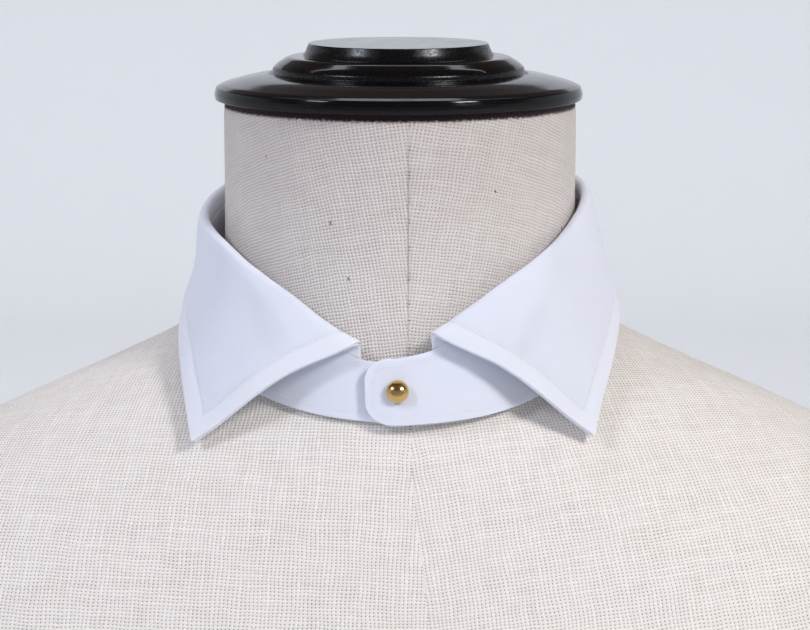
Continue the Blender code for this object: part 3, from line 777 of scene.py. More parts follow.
def sewn(name, paths, thread, **sizes):
    """A mesh of stitches along paths, made by the stitch tree."""
    vertices = [tuple(point) for path in paths for point in path]
    edges, first = [], 0
    for path in paths:
        edges += [(first + i, first + i + 1) for i in range(len(path) - 1)]
        first += len(path)
    mesh = bpy.data.meshes.new(name)
    mesh.from_pydata(vertices, edges, [])
    made = bpy.data.objects.new(name, mesh)
    bpy.context.scene.collection.objects.link(made)
    nodes = made.modifiers.new("sewing", "NODES")
    nodes.node_group = stitch_tree
    values = {"Thread": thread, "Seed": 4, "Unevenness": 0.06, "Out": (0.0, -1.0, 0.0), **sizes}
    for socket in stitch_tree.interface.items_tree:
        if socket.name in values:
            nodes[socket.identifier] = values[socket.name]
    finished = bpy.data.meshes.new_from_object(made.evaluated_get(bpy.context.evaluated_depsgraph_get()))
    made.modifiers.remove(nodes)
    made.data = finished
    print(name, "has", len(finished.polygons), "faces")
    return made


# %% Topstitching on the leaf
STITCH_PITCH = 1.8 * MM
THREAD_WIDTH = 0.26 * MM
TOPSTITCH = {"Pitch": STITCH_PITCH, "Along": 1.45 * MM, "Across": THREAD_WIDTH, "Height": THREAD_WIDTH}


def crossing(values, line, level):
    """The point where values along a line first reach a level, or None."""
    above = np.nonzero(values >= level)[0]
    if len(above) == 0 or above[0] == 0:
        return None
    i = above[0]
    share = (level - values[i - 1]) / (values[i] - values[i - 1])
    return line[i - 1] + (line[i] - line[i - 1]) * share


def stitch_path(face, first_row):
    """The line at one inset from both fronts and the outer edge."""
    half = face.shape[0] // 2
    path = []
    for row in range(first_row, face.shape[1]):
        if outer_distance[FRONT_COLUMNS // 2, row] > STITCH_INSET:
            path.append(crossing(front_distance[:half, row], face[:half, row], STITCH_INSET))
    for column in range(face.shape[0]):
        point = crossing(outer_distance[column, ::-1], face[column, ::-1], STITCH_INSET)
        if point is not None and distance_to_line(point, leaf[0]) > STITCH_INSET:
            if distance_to_line(point, leaf[-1]) > STITCH_INSET:
                path.append(point)
    for row in range(face.shape[1] - 1, first_row - 1, -1):
        if outer_distance[-FRONT_COLUMNS // 2, row] > STITCH_INSET:
            path.append(crossing(front_distance[:half:-1, row], face[:half:-1, row], STITCH_INSET))
    return [point for point in path if point is not None]


leaf_face = leaf + leaf_out * (HALF_GAP + PLY + leaf_relief + 0.02 * MM)[..., None]
topstitching = sewn("leaf_topstitching", [stitch_path(leaf_face, 8)], cotton_thread, **TOPSTITCH)

# %% [markdown]
# ## The band
#
# The band is the upright part that goes round the neck. It has an outer and an inner ply, rounded
# ends that lap at the front and a hole in each end for the stud. Its ends are drawn with a nose
# curve. The holes are cut with a Boolean modifier, which is baked into the mesh.

# %% Band plies
BAND_ROWS = 14
BAND_END_COLUMNS = 26
BAND_MIDDLE_COLUMNS = 150


def nose_share(turn):
    """How much of its height the band keeps near its rounded ends."""
    past_end = min(turn + BAND_END_TURN, 360.0 + BAND_END_TURN - turn)
    reach = min(math.radians(past_end) * BAND_LOW["half_depth"] / BAND_NOSE, 1.0)
    roundness = math.sqrt(1.0 - (1.0 - reach) ** 2)
    return BAND_NOSE_END_SHARE + (1.0 - BAND_NOSE_END_SHARE) * roundness


def band_turns():
    """The band's columns, close together at its rounded ends."""
    spread = LEAF_START_TURN + BAND_END_TURN
    ends = [
        spread * (i / BAND_END_COLUMNS) ** 1.7 - BAND_END_TURN for i in range(BAND_END_COLUMNS)
    ]
    span = 360.0 - 2 * LEAF_START_TURN
    middle = [LEAF_START_TURN + span * i / BAND_MIDDLE_COLUMNS for i in range(BAND_MIDDLE_COLUMNS + 1)]
    return ends + middle + [360.0 - turn for turn in reversed(ends)]


def band_column(turn):
    """One column of the band, from its lower edge up."""
    low, high = band_edge(turn, False), band_edge(turn, True)
    reach = (high - low) / 2 * nose_share(turn)
    return [(low + high) / 2 + reach * (2.0 * row / BAND_ROWS - 1.0) for row in range(BAND_ROWS + 1)]


band = np.array([band_column(turn) for turn in band_turns()])
band_uv = surface_uv(band)
band_outer = cloth_ply("band_outer_cloth", band, HALF_GAP, HALF_GAP + PLY, band_uv, poplin)
band_inner = cloth_ply("band_inner_cloth", band, -HALF_GAP - PLY, -HALF_GAP, band_uv, poplin)
print("band grid:", band.shape[0], "columns by", band.shape[1], "rows")

# %% Holes for the studs
STUD_HOLE_RADIUS = 1.8 * MM
BACK_HOLE = (1.6 * MM, 10.0 * MM)
CUT_REACH = 12 * MM


def cloth_frame(turn, outset):
    """A matrix at the middle of the band, with Z out of the cloth and Y up it."""
    up, out = band_frame(turn)
    middle = (band_edge(turn, False) + band_edge(turn, True)) / 2 + out * outset
    return Matrix.Translation(middle) @ Matrix((up.cross(out), up, out)).transposed().to_4x4()


def hole_cutter(name, outline, matrix):
    """An upright prism that cuts a hole of one outline."""
    ring = np.array(outline)
    both = [(x, y, z) for z in (-CUT_REACH / 2, CUT_REACH / 2) for x, y in ring]
    n = len(ring)
    sides = [(i, (i + 1) % n, n + (i + 1) % n, n + i) for i in range(n)]
    mesh = bpy.data.meshes.new(name)
    mesh.from_pydata(both, [], sides + [tuple(range(n))[::-1], tuple(range(n, 2 * n))])
    mesh.transform(matrix)
    return place_object(name, mesh, poplin)


turns = np.radians(np.arange(24) * 15.0)
front_matrix = cloth_frame(0.0, -LAP_STEP / 2)
back_matrix = cloth_frame(180.0, 0.0)
front_outline = [(STUD_HOLE_RADIUS * math.cos(a), STUD_HOLE_RADIUS * math.sin(a)) for a in turns]
slit_half = (BACK_HOLE[1] - BACK_HOLE[0]) / 2
back_outline = [
    (BACK_HOLE[0] / 2 * math.cos(a),
     BACK_HOLE[0] / 2 * math.sin(a) + math.copysign(slit_half, math.sin(a + 0.01)))
    for a in turns
]
cutters = [
    hole_cutter("front_hole_cutter", front_outline, front_matrix),
    hole_cutter("back_hole_cutter", back_outline, back_matrix),
]
for ply in (band_outer, band_inner):
    for cutter in cutters:
        cut = ply.modifiers.new(cutter.name, "BOOLEAN")
        cut.operation, cut.solver, cut.object = "DIFFERENCE", "EXACT", cutter
    mesh = bpy.data.meshes.new_from_object(ply.evaluated_get(bpy.context.evaluated_depsgraph_get()))
    ply.modifiers.clear()
    ply.data = mesh
for cutter in cutters:
    bpy.data.objects.remove(cutter)
print("band plies have", len(band_outer.data.polygons), "faces each after the cuts")

# %% [markdown]
# ## Sewing on the band
#
# One row of topstitching runs just above the band's lower edge and round both ends. Buttonhole
# stitch guards the stud holes: short threads laid side by side from the hole outwards. The stitch
# tree makes both, with the thread laid across the path for the buttonholes.

# %% Band stitches
BAND_INSET = 2.2 * MM
BUTTONHOLE_STITCH = {"Pitch": 0.36 * MM, "Along": 0.34 * MM, "Across": 1.5 * MM, "Height": 0.34 * MM}

band_out = grid_normals(band)


def band_path():
    """The line of topstitching, one inset inside the band's free edge: round both ends and below."""
    columns, rows = band.shape[:2]
    loop = border_numbers(columns, rows)
    first_top, last_top = rows - 1 + BAND_END_COLUMNS, rows + columns - 2 - BAND_END_COLUMNS
    order = np.concatenate([loop[:first_top + 1][::-1], loop[last_top:][::-1]])
    edge, out = band.reshape(-1, 3)[order], band_out.reshape(-1, 3)[order]
    middle = band[np.clip(order // rows, 3, columns - 4), rows // 2]
    aside = np.cross(np.gradient(edge, axis=0), out)
    aside /= np.linalg.norm(aside, axis=1, keepdims=True)
    aside *= np.sign(np.sum(aside * (middle - edge), axis=1, keepdims=True))
    return edge + aside * BAND_INSET + out * (HALF_GAP + PLY)


def hole_path(outline, matrix, outset):
    """A closed line round a hole, on the band's outer face."""
    ring = [Vector((x, y)) for x, y in outline]
    middle = sum(ring, Vector((0, 0))) / len(ring)
    wider = [point + (point - middle).normalized() * 0.9 * MM for point in ring]
    return [matrix @ Vector((point.x, point.y, outset)) for point in wider + wider[:1]]


band_topstitching = sewn("band_topstitching", [band_path()], cotton_thread, **TOPSTITCH)
front_buttonhole = sewn(
    "front_buttonhole_stitching", [hole_path(front_outline, front_matrix, LAP_STEP / 2 + HALF_GAP + PLY)],
    cotton_thread, **BUTTONHOLE_STITCH,
)
back_buttonhole = sewn(
    "back_buttonhole_stitching", [hole_path(back_outline, back_matrix, HALF_GAP + PLY)],
    cotton_thread, **{**BUTTONHOLE_STITCH, "Out": (0.0, 1.0, 0.0)},
)

# %% [markdown]
# ## The stud
#
# A collar stud is turned and polished brass with a thin gold wash: a flat base behind the band, a
# short shank through both ends and a domed head. It is a turned profile with rounded corners.


# %% Turned pieces with rounded corners
def rounded_profile(corners, steps=5):
    """A profile with each corner rounded. A corner is a radius, a height and its rounding."""
    points = [Vector(corner[:2]) for corner in corners]
    profile = [tuple(points[0])]
    for before, here, after, corner in zip(points, points[1:], points[2:], corners[1:]):
        back, forth = before - here, after - here
        cut = min(corner[2], back.length * 0.38, forth.length * 0.38)
        if cut < 0.01 * MM:
            profile.append(tuple(here))
            continue
        start, end = here + back.normalized() * cut, here + forth.normalized() * cut
        # A support point just before and after the bend keeps the long sides shaded as straight.
        profile.append(tuple(start + back.normalized() * min(0.15 * MM, back.length * 0.1)))
        for i in range(steps + 1):
            t = i / steps
            profile.append(tuple(start * (1 - t) ** 2 + here * 2 * t * (1 - t) + end * t * t))
        profile.append(tuple(end + forth.normalized() * min(0.15 * MM, forth.length * 0.1)))
    profile.append(tuple(points[-1]))
    return profile


def turned_piece(name, corners, steps, matrix, finish):
    """A closed piece turned about Z from a profile that starts and ends on the axis."""
    profile = rounded_profile(corners)
    ring = turned_points(profile[1:-1], steps)
    mesh = grid_mesh(name, ring, close_columns=True)
    rows = ring.shape[1]
    points = [tuple(v.co) for v in mesh.vertices]
    faces = [tuple(p.vertices) for p in mesh.polygons]
    for (radius, height), row in ((profile[0], 0), (profile[-1], rows - 1)):
        pole = len(points)
        points.append((0.0, 0.0, height))
        faces += [
            (column * rows + row, (column + 1) % steps * rows + row, pole)[:: -1 if row == 0 else 1]
            for column in range(steps)
        ]
    closed = bpy.data.meshes.new(name)
    closed.from_pydata(points, [], faces)
    closed.transform(matrix)
    made = place_object(name, closed, finish)
    face_outwards(made)
    return made


# %% Stud
STUD_STACK = LAP_STEP / 2 + 1.15 * MM
HEAD_FOOT = STUD_STACK + 0.4 * MM
BASE_TOP = -STUD_STACK - 0.8 * MM

brass, tree, shader = new_material(
    "gold_washed_brass", Metallic=1.0, Roughness=0.16)
wear = add_node(tree, "ShaderNodeTexNoise", None, {
    "Vector": add_node(tree, "ShaderNodeTexCoord").outputs["Object"], "Scale": 900.0, "Detail": 6.0})
polish = add_node(tree, "ShaderNodeMapRange", None, {"Value": wear, "To Min": 0.10, "To Max": 0.26})
gold = add_node(tree, "ShaderNodeMix", {"data_type": "RGBA"}, {
    "Factor": wear, 6: linear("#d8ae63"), 7: linear("#e6c583")})
tree.links.new(gold.outputs[2], shader.inputs["Base Color"])
tree.links.new(polish.outputs[0], shader.inputs["Roughness"])
head_top = HEAD_FOOT + 3.2 * MM
head_profile = [(0.0, head_top, 0.0), (0.9 * MM, head_top - 0.08 * MM, 0.5 * MM)]
head_profile += [
    (2.1 * MM, head_top - 0.5 * MM, 0.9 * MM), (3.0 * MM, head_top - 1.3 * MM, 0.9 * MM),
    (3.6 * MM, HEAD_FOOT + 0.9 * MM, 0.7 * MM), (3.35 * MM, HEAD_FOOT, 0.25 * MM),
    (1.3 * MM, HEAD_FOOT, 0.2 * MM), (1.3 * MM, BASE_TOP, 0.2 * MM), (4.4 * MM, BASE_TOP, 0.2 * MM),
    (4.6 * MM, BASE_TOP - 0.45 * MM, 0.3 * MM), (4.4 * MM, BASE_TOP - 0.9 * MM, 0.3 * MM),
    (0.0, BASE_TOP - 0.9 * MM, 0.0),
]
stud = turned_piece("front_stud_metal", head_profile, 56, front_matrix, brass)
print("stud:", len(stud.data.polygons), "faces")

# %% [markdown]
# ## Coarse linen
#
# The form is covered in undyed linen in an open plain weave: warp threads 1.3 mm apart and weft
# threads 1.07 mm apart, each thread passing over and under by turns. Where four threads meet there
# is a pinhole, and the threads vary in width and tone. The pattern follows the cloth's UV map, in
# millimetres. A domed height for each thread, the higher one winning at every crossing, gives the
# bump its nubs and the colour a painted shade in the pinholes and where the threads dip.

# %% Linen weave
WARP_PITCH_MM = 1.30
WEFT_PITCH_MM = 1.07
THREAD_DOME = 0.30 * MM

linen, tree, shader = new_material(
    "undyed_plain_weave_linen", Roughness=0.92, Sheen_Weight=0.15, Sheen_Roughness=0.5,
    Specular_IOR_Level=0.2,
)
cloth_uv = add_node(tree, "ShaderNodeUVMap", {"uv_map": "cloth_mm"})
bend = add_node(tree, "ShaderNodeTexNoise", {"noise_dimensions": "2D"}, {
    "Vector": cloth_uv, "Scale": 0.07, "Detail": 2.0})
centred = add_node(tree, "ShaderNodeVectorMath", {"operation": "SUBTRACT"}, {
    0: bend.outputs["Color"], 1: (0.5, 0.5, 0.5)})
wandering = add_node(tree, "ShaderNodeVectorMath", {"operation": "MULTIPLY_ADD"}, {
    0: centred, 1: (1.5, 1.5, 0.0), 2: cloth_uv})
counted = add_node(tree, "ShaderNodeVectorMath", {"operation": "DIVIDE"}, {
    0: wandering, 1: (WARP_PITCH_MM, WEFT_PITCH_MM, 1.0)})
counts = add_node(tree, "ShaderNodeSeparateXYZ", None, {0: counted})
waves = [
    add_node(tree, "ShaderNodeMath", {"operation": "SINE"}, {
        0: add_node(tree, "ShaderNodeMath", {"operation": "MULTIPLY"}, {0: counts.outputs[i], 1: math.pi})})
    for i in (0, 1)
]
checker = add_node(tree, "ShaderNodeMath", {"operation": "MULTIPLY"}, {0: waves[0], 1: waves[1]})
heights, tones = [], []
for system, sign in ((0, 1.0), (1, -1.0)):
    across, along = counts.outputs[system], counts.outputs[1 - system]
    which = add_node(tree, "ShaderNodeMath", {"operation": "FLOOR"}, {0: across})
    from_gap = add_node(tree, "ShaderNodeMath", {"operation": "PINGPONG"}, {0: across, 1: 0.5})
    place_on_thread = add_node(tree, "ShaderNodeCombineXYZ", None, {0: which, 1: along, 2: 7.0 * system})
    stretched = add_node(tree, "ShaderNodeVectorMath", {"operation": "MULTIPLY"}, {
        0: place_on_thread, 1: (3.7, 0.07, 1.0)})
    slub = add_node(tree, "ShaderNodeTexNoise", None, {"Vector": stretched, "Scale": 1.0, "Detail": 2.0})
    width = add_node(tree, "ShaderNodeMapRange", None, {
        "Value": slub, "From Min": 0.25, "From Max": 0.75, "To Min": 0.37, "To Max": 0.45})
    from_middle = add_node(tree, "ShaderNodeMath", {"operation": "SUBTRACT"}, {0: 0.5, 1: from_gap})
    share = add_node(tree, "ShaderNodeMath", {"operation": "DIVIDE"}, {0: from_middle, 1: width})
    square = add_node(tree, "ShaderNodeMath", {"operation": "MULTIPLY"}, {0: share, 1: share})
    rest = add_node(tree, "ShaderNodeMath", {"operation": "SUBTRACT", "use_clamp": True}, {0: 1.0, 1: square})
    dome = add_node(tree, "ShaderNodeMath", {"operation": "SQRT"}, {0: rest})
    over = add_node(tree, "ShaderNodeMath", {"operation": "MULTIPLY_ADD"}, {
        0: checker, 1: 0.3 * sign, 2: 0.7})
    heights.append(add_node(tree, "ShaderNodeMath", {"operation": "MULTIPLY"}, {0: dome, 1: over}))
    tones.append(slub)
top = add_node(tree, "ShaderNodeMath", {"operation": "MAXIMUM"}, {0: heights[0], 1: heights[1]})
warp_on_top = add_node(tree, "ShaderNodeMath", {"operation": "GREATER_THAN"}, {0: heights[0], 1: heights[1]})
tone = add_node(tree, "ShaderNodeMix", {"data_type": "FLOAT"}, {0: warp_on_top, 2: tones[1], 3: tones[0]})
thread_colour = add_node(tree, "ShaderNodeMix", {"data_type": "RGBA"}, {
    "Factor": add_node(tree, "ShaderNodeMapRange", None, {
        "Value": tone.outputs[0], "From Min": 0.25, "From Max": 0.75}),
    6: linear("#efe7dc"), 7: linear("#fbf6ec")})
fleck = add_node(tree, "ShaderNodeTexNoise", None, {"Vector": cloth_uv, "Scale": 0.9, "Detail": 3.0})
fleck_share = add_node(tree, "ShaderNodeMapRange", None, {
    "Value": fleck, "From Min": 0.66, "From Max": 0.78, "To Min": 0.0, "To Max": 0.35})
speckled = add_node(tree, "ShaderNodeMix", {"data_type": "RGBA"}, {
    "Factor": fleck_share, 6: thread_colour.outputs[2], 7: linear("#8f7f70")})
# Painted shade: the colour darkens towards the pinholes and where a thread dips under its neighbour.
thread_gap_shade = add_node(tree, "ShaderNodeMapRange", None, {
    "Value": top, "From Min": 0.0, "From Max": 0.47})
linen_colour = add_node(tree, "ShaderNodeMix", {"data_type": "RGBA"}, {
    "Factor": thread_gap_shade, 6: linear("#5e5256"), 7: speckled.outputs[2]})
# Painted shade: the linen is greyer towards the top of the neck and lighter lower down, where more light
# bounces up onto it.
neck_height = add_node(tree, "ShaderNodeSeparateXYZ", None, {
    0: add_node(tree, "ShaderNodeTexCoord").outputs["Object"]})
painted_top_shade = add_node(tree, "ShaderNodeMapRange", {"interpolation_type": "SMOOTHSTEP"}, {
    "Value": neck_height.outputs["Z"], "From Min": NECK_TOP - 85 * MM, "From Max": NECK_TOP})
top_shaded_colour = add_node(tree, "ShaderNodeMix", {"data_type": "RGBA", "blend_type": "MULTIPLY"}, {
    "Factor": painted_top_shade, 6: linen_colour.outputs[2], 7: linear("#e5e2e3")})
# Painted shadow under the cap's rim: the linen's last two millimetres are darkened, with a ragged edge.
ragged_shadow_height = add_node(tree, "ShaderNodeMath", {"operation": "MULTIPLY_ADD"}, {
    0: add_node(tree, "ShaderNodeTexNoise", None, {"Vector": cloth_uv, "Scale": 0.9, "Detail": 2.0}),
    1: 1.6 * MM, 2: neck_height.outputs["Z"]})
painted_rim_shadow = add_node(tree, "ShaderNodeMapRange", {"interpolation_type": "SMOOTHSTEP"}, {
    "Value": ragged_shadow_height, "From Min": NECK_TOP + 0.5 * MM, "From Max": NECK_TOP + 1.6 * MM})
rim_shadowed_colour = add_node(tree, "ShaderNodeMix", {"data_type": "RGBA", "blend_type": "MULTIPLY"}, {
    "Factor": painted_rim_shadow, 6: top_shaded_colour.outputs[2], 7: linear("#3a2a30")})
tree.links.new(rim_shadowed_colour.outputs[2], shader.inputs["Base Color"])
relief = add_node(tree, "ShaderNodeBump", None, {"Strength": 1.0, "Distance": THREAD_DOME, "Height": top})
tree.links.new(relief.outputs[0], shader.inputs["Normal"])
print("linen:", round(25.4 / WARP_PITCH_MM), "warp threads to the inch")

# %% [markdown]
# ## The form's covers
#
# The neck cover is two panels, seamed at the front and the back, and the torso cover is four. The
# form is described by closed rings, each an oval or a softened rectangle, and a smooth curve runs
# down through them. The neck's panels are cut with the grain turned a little, so the weft arches up
# to the front seam and the warp leans in to it, and their UV map is worked out from that.

# %% Rings of the form
FORM_RINGS = table(
    "name             side   front  back   side_drop  front_drop  back_drop  corner",
    ("neck_top",      58.0,  58.0,  58.0,  -2.4,      -2.4,       -2.4,      2.0),
    ("neck_upper",    58.0,  58.0,  58.0,  14.0,      16.0,       12.0,      2.0),
    ("neck_middle",   58.0,  58.0,  58.0,  30.0,      36.0,       26.0,      2.0),
    ("neck_lower",    58.3,  58.2,  58.4,  46.0,      58.0,       40.0,      2.0),
    ("throat",        60.0,  60.8,  59.6,  59.0,      81.0,       51.5,      2.0),
    ("seat",          0.0,   0.0,   0.0,   0.0,       0.0,        0.0,       2.0),
    ("collarbone",    74.0,  80.0,  69.0,  74.0,      107.0,      70.0,      2.0),
    ("yoke",          100.0, 88.0,  79.0,  86.5,      123.0,      86.0,      2.05),
    ("shoulder",      135.0, 97.0,  90.0,  102.0,     146.0,      110.0,     2.15),
    ("upper_arm",     168.0, 105.0, 99.0,  119.0,     172.0,      138.0,     2.2),
    ("shoulder_end",  193.0, 110.5, 104.0, 138.0,     200.0,      168.0,     2.25),
    ("arm_top",       205.0, 113.5, 106.5, 162.0,     228.0,      198.0,     2.3),
    ("arm_middle",    204.0, 115.0, 107.0, 196.0,     256.0,      230.0,     2.3),
    ("armpit",        190.0, 114.5, 106.5, 238.0,     286.0,      266.0,     2.3),
    ("chest",         176.0, 112.0, 105.0, 284.0,     316.0,      304.0,     2.35),
    ("ribs",          165.0, 108.5, 102.0, 334.0,     350.0,      344.0,     2.4),
    ("hem",           158.0, 104.5, 99.0,  387.0,     387.0,      387.0,     2.4),
)
SEAT_ROW = 5
SEAT_INSET = 1.4 * MM
SEAT_CLEARANCE = 0.45 * MM
RING_STEPS = 6
SUPPORT_SHARE = 0.3
FORM_SEAM_TURN = 3.0
LINEN = 0.5 * MM


def form_point(row, turn):
    """A point of the form's linen surface, on one ring."""
    if row == SEAT_ROW:
        sizes = {**BAND_LOW, "half_width": BAND_LOW["half_width"] - SEAT_INSET,
                 "half_depth": BAND_LOW["half_depth"] - SEAT_INSET}
        drop = all_round(BAND_BOTTOM, turn % 360.0, "drop", "drop") * MM
        return neck_ring(turn, drop + SEAT_CLEARANCE, **sizes)
    ring = FORM_RINGS[row]
    sine, cosine = math.sin(math.radians(turn)), math.cos(math.radians(turn))
    power = 2.0 / ring["corner"]
    depth = ring["front"] if cosine > 0 else ring["back"]
    end_drop = ring["front_drop"] if cosine > 0 else ring["back_drop"]
    x = math.copysign(abs(sine) ** power, sine) * ring["side"]
    y = -math.copysign(abs(cosine) ** power, cosine) * depth
    return place(x * MM, y * MM, (ring["side_drop"] * sine**2 + end_drop * cosine**2) * MM)


def with_supports(values):
    """A run of turns or shares with one more close to each end, so that a rim's bend stays narrow."""
    step = (values[1] - values[0]) * SUPPORT_SHARE
    return np.concatenate([values[:1], [values[0] + step], values[1:-1], [values[-1] - step], values[-1:]])


def form_column(turn, first, last):
    """Points down the form at one turn, on a smooth curve through its rings."""
    rings = [form_point(row, turn) for row in range(len(FORM_RINGS))]
    points = []
    for share in with_supports(np.linspace(first, last, (last - first) * RING_STEPS + 1)):
        row = min(int(share), last - 1)
        a, b = rings[max(row - 1, 0)], rings[row]
        c, d = rings[row + 1], rings[min(row + 2, len(rings) - 1)]
        t = float(share) - row
        points.append((
            b * 2 + (c - a) * t + (a * 2 - b * 5 + c * 4 - d) * t**2
            + (b * 3 - a - c * 3 + d) * t**3
        ) / 2)
    return points


print("rings:", ", ".join(ring["name"] for ring in FORM_RINGS))

# %% Neck cover
NECK_RADIUS_MM = 58.0
NECK_COLUMNS = 90
SEAM_GAPING = LINEN / 2 - 0.04 * MM
TOP_TUCK = 0.55 * MM
TOP_TUCK_HEIGHT = 4.5 * MM


def neck_grain(turn_from_seam, height_mm):
    """Millimetres across and along the linen, at a turn from the front seam and a height."""
    angle = math.radians(abs(turn_from_seam))
    side = math.copysign(1.0, turn_from_seam)
    u = NECK_RADIUS_MM * angle - height_mm * (0.165 + 0.18 * math.sin(angle))
    v = height_mm + NECK_RADIUS_MM * (0.07 * angle + 0.32 * (1.0 - math.cos(angle)))
    return side * u, v


def trimmed(points, top, bottom):
    """A panel's points with its edges drawn in for the seams, so that the turned edges press together."""
    points = points.copy()
    for edge, inner in ((0, 1), (-1, -2)):
        way = points[inner] - points[edge]
        points[edge] += way / np.linalg.norm(way, axis=-1, keepdims=True) * SEAM_GAPING
    for edge, inner, wanted in ((0, 1, top), (-1, -2, bottom)):
        if wanted:
            way = points[:, inner] - points[:, edge]
            points[:, edge] += way / np.linalg.norm(way, axis=-1, keepdims=True) * SEAM_GAPING
    return points


neck_covers = []
for name, start, side in (("right", 0.0, 1.0), ("left", 180.0, -1.0)):
    turns_here = with_supports(np.linspace(start, start + 180.0, NECK_COLUMNS + 1))
    panel = np.array([form_column(turn + FORM_SEAM_TURN, 0, SEAT_ROW) for turn in turns_here])
    panel = trimmed(panel, top=False, bottom=True)
    near_top = np.clip((panel[..., 2] - panel[0, 0, 2]) / TOP_TUCK_HEIGHT + 1.0, 0.0, 1.0)
    tuck = TOP_TUCK * near_top**2
    from_seam = [turn - (0.0 if side > 0 else 360.0) for turn in turns_here]
    uv = np.array([
        [neck_grain(turn, (point[2] - NECK_TOP) / MM) for point in column]
        for turn, column in zip(from_seam, panel)
    ])
    inward = grid_normals(panel)
    cover = cloth_ply(f"neck_cover_{name}_linen", panel, tuck, LINEN + tuck, uv, linen, inward)
    neck_covers.append((cover, f"neck_cover_{name}", panel))
    print(cover.name, "cut area", round(sheet_area(panel) * 1e4), "cm2")

# %% [markdown]
# ## The torso cover
#
# The torso's panels are flattened by Blender's own unwrapping, as a pattern cutter flattens a
# surface, then turned so that the centre seam runs with the grain and scaled to real millimetres.

# %% Torso cover
TORSO_COLUMNS = 40


def unwrapped_mm(points):
    """A flat pattern of a grid, in millimetres, with its first column upright."""
    mesh = grid_mesh("pattern", points)
    made = place_object("pattern", mesh, linen)
    mesh.uv_layers.new(name="flat")
    bpy.context.view_layer.objects.active = made
    made.select_set(True)
    bpy.ops.object.mode_set(mode="EDIT")
    bpy.ops.mesh.select_all(action="SELECT")
    bpy.ops.uv.unwrap(method="ANGLE_BASED", margin=0.0)
    bpy.ops.object.mode_set(mode="OBJECT")
    corner = np.zeros(len(mesh.loops), dtype=np.int32)
    mesh.loops.foreach_get("vertex_index", corner)
    flat = np.zeros(len(mesh.loops) * 2, dtype=np.float32)
    mesh.uv_layers["flat"].data.foreach_get("uv", flat)
    pattern = np.zeros((len(mesh.vertices), 2))
    pattern[corner] = flat.reshape(-1, 2)
    bpy.data.objects.remove(made)
    pattern = pattern.reshape(*points.shape[:2], 2)
    across, up = np.diff(pattern, axis=0)[:, :-1], np.diff(pattern, axis=1)[:-1]
    flat_area = np.abs(across[..., 0] * up[..., 1] - across[..., 1] * up[..., 0]).sum()
    pattern *= math.sqrt(sheet_area(points) / flat_area) / MM
    spine = pattern[0, 0] - pattern[0, -1]
    spine /= np.linalg.norm(spine)
    turned = np.stack([pattern @ np.array([spine[1], -spine[0]]), pattern @ spine], axis=-1)
    return turned - turned[0, 0]


torso_panels = []
for name, start, end in (
    ("front_right", 0.0, 90.0), ("back_right", 180.0, 90.0),
    ("back_left", 180.0, 270.0), ("front_left", 360.0, 270.0),
):
    panel = np.array([
        form_column(turn + FORM_SEAM_TURN, SEAT_ROW, len(FORM_RINGS) - 1)
        for turn in with_supports(np.linspace(start, end, TORSO_COLUMNS + 1))
    ])
    panel = trimmed(panel, top=True, bottom=False)
    inward = grid_normals(panel) * (1.0 if end > start else -1.0)
    uv = unwrapped_mm(panel)
    cover = cloth_ply(f"torso_cover_{name}_linen", panel, 0.0, LINEN, uv, linen, inward)
    torso_panels.append((cover, f"torso_cover_{name}", panel))
    print(cover.name, "cut area", round(sheet_area(panel) * 1e4), "cm2")

# %% [markdown]
# ## Loose bits in the linen
#
# Undyed linen keeps bits of flax stem, short dark specks lying along the threads, and a seam sewn by
# hand leaves a loose loop of thread. The stitch tree makes both from short paths on the cloth.

# %% Flax stem bits and a loose loop
SHIVES_ON_NECK = (
    (-22.0, 31.3, 0.9), (-16.1, 48.8, 0.6), (31.0, 22.0, 0.5), (-47.0, 12.0, 0.5), (64.0, 37.0, 0.6),
    (118.0, 15.0, 0.6), (152.0, 33.0, 0.7), (203.0, 20.0, 0.5), (239.0, 28.0, 0.6),
)
LOOP_TURN, LOOP_DROP_MM, LOOP_RADIUS_MM = 3.6, 47.0, 0.9


def on_neck(turn, drop_mm, out_mm):
    """A point on the neck's linen or a little out of it."""
    angle, radius = math.radians(turn), (NECK_RADIUS_MM + out_mm) * MM
    return place(radius * math.sin(angle), -radius * math.cos(angle), drop_mm * MM)


flax_stem, tree, shader = new_material("flax_stem_bits", Roughness=0.8)
shader.inputs["Base Color"].default_value = linear("#5a4840")
shive_paths = [
    [on_neck(turn, drop, 0.02), on_neck(turn + 0.25, drop + length, 0.02)]
    for turn, drop, length in SHIVES_ON_NECK
]
shives = sewn(
    "flax_stem_bits", shive_paths, flax_stem,
    Pitch=0.25 * MM, Along=0.5 * MM, Across=0.45 * MM, Height=0.24 * MM, Unevenness=0.2,
)
linen_thread, tree, shader = new_material("linen_sewing_thread", Roughness=0.7)
shader.inputs["Base Color"].default_value = linear("#ddd3ca")
loop_path = [
    on_neck(
        LOOP_TURN - LOOP_RADIUS_MM * math.cos(a), LOOP_DROP_MM + 1.6 * LOOP_RADIUS_MM * math.sin(a),
        0.1 + 0.5 * math.sin(a),
    )
    for a in np.radians(np.linspace(0, 180, 15))
]
loose_loop = sewn(
    "loose_seam_thread", [loop_path], linen_thread,
    Pitch=0.12 * MM, Along=0.22 * MM, Across=0.2 * MM, Height=0.2 * MM, Unevenness=0.05,
)

# %% [markdown]
# ## The neck cap
#
# The cap is turned hardwood in three tiers under glossy black lacquer. Lacquer is smooth, so its
# look is its reflections: sharp on the rims, pale on the flat top. Years of handling leave fine
# dust and rub marks, which make the gloss uneven.

# %% Cap
lacquer, tree, shader = new_material(
    "black_lacquered_hardwood", Specular_IOR_Level=0.29,
)
on_cap = add_node(tree, "ShaderNodeTexCoord").outputs["Object"]
rub = add_node(tree, "ShaderNodeTexNoise", None, {"Vector": on_cap, "Scale": 160.0, "Detail": 5.0})
gloss = add_node(tree, "ShaderNodeMapRange", None, {
    "Value": rub, "From Min": 0.35, "From Max": 0.7, "To Min": 0.07, "To Max": 0.14})
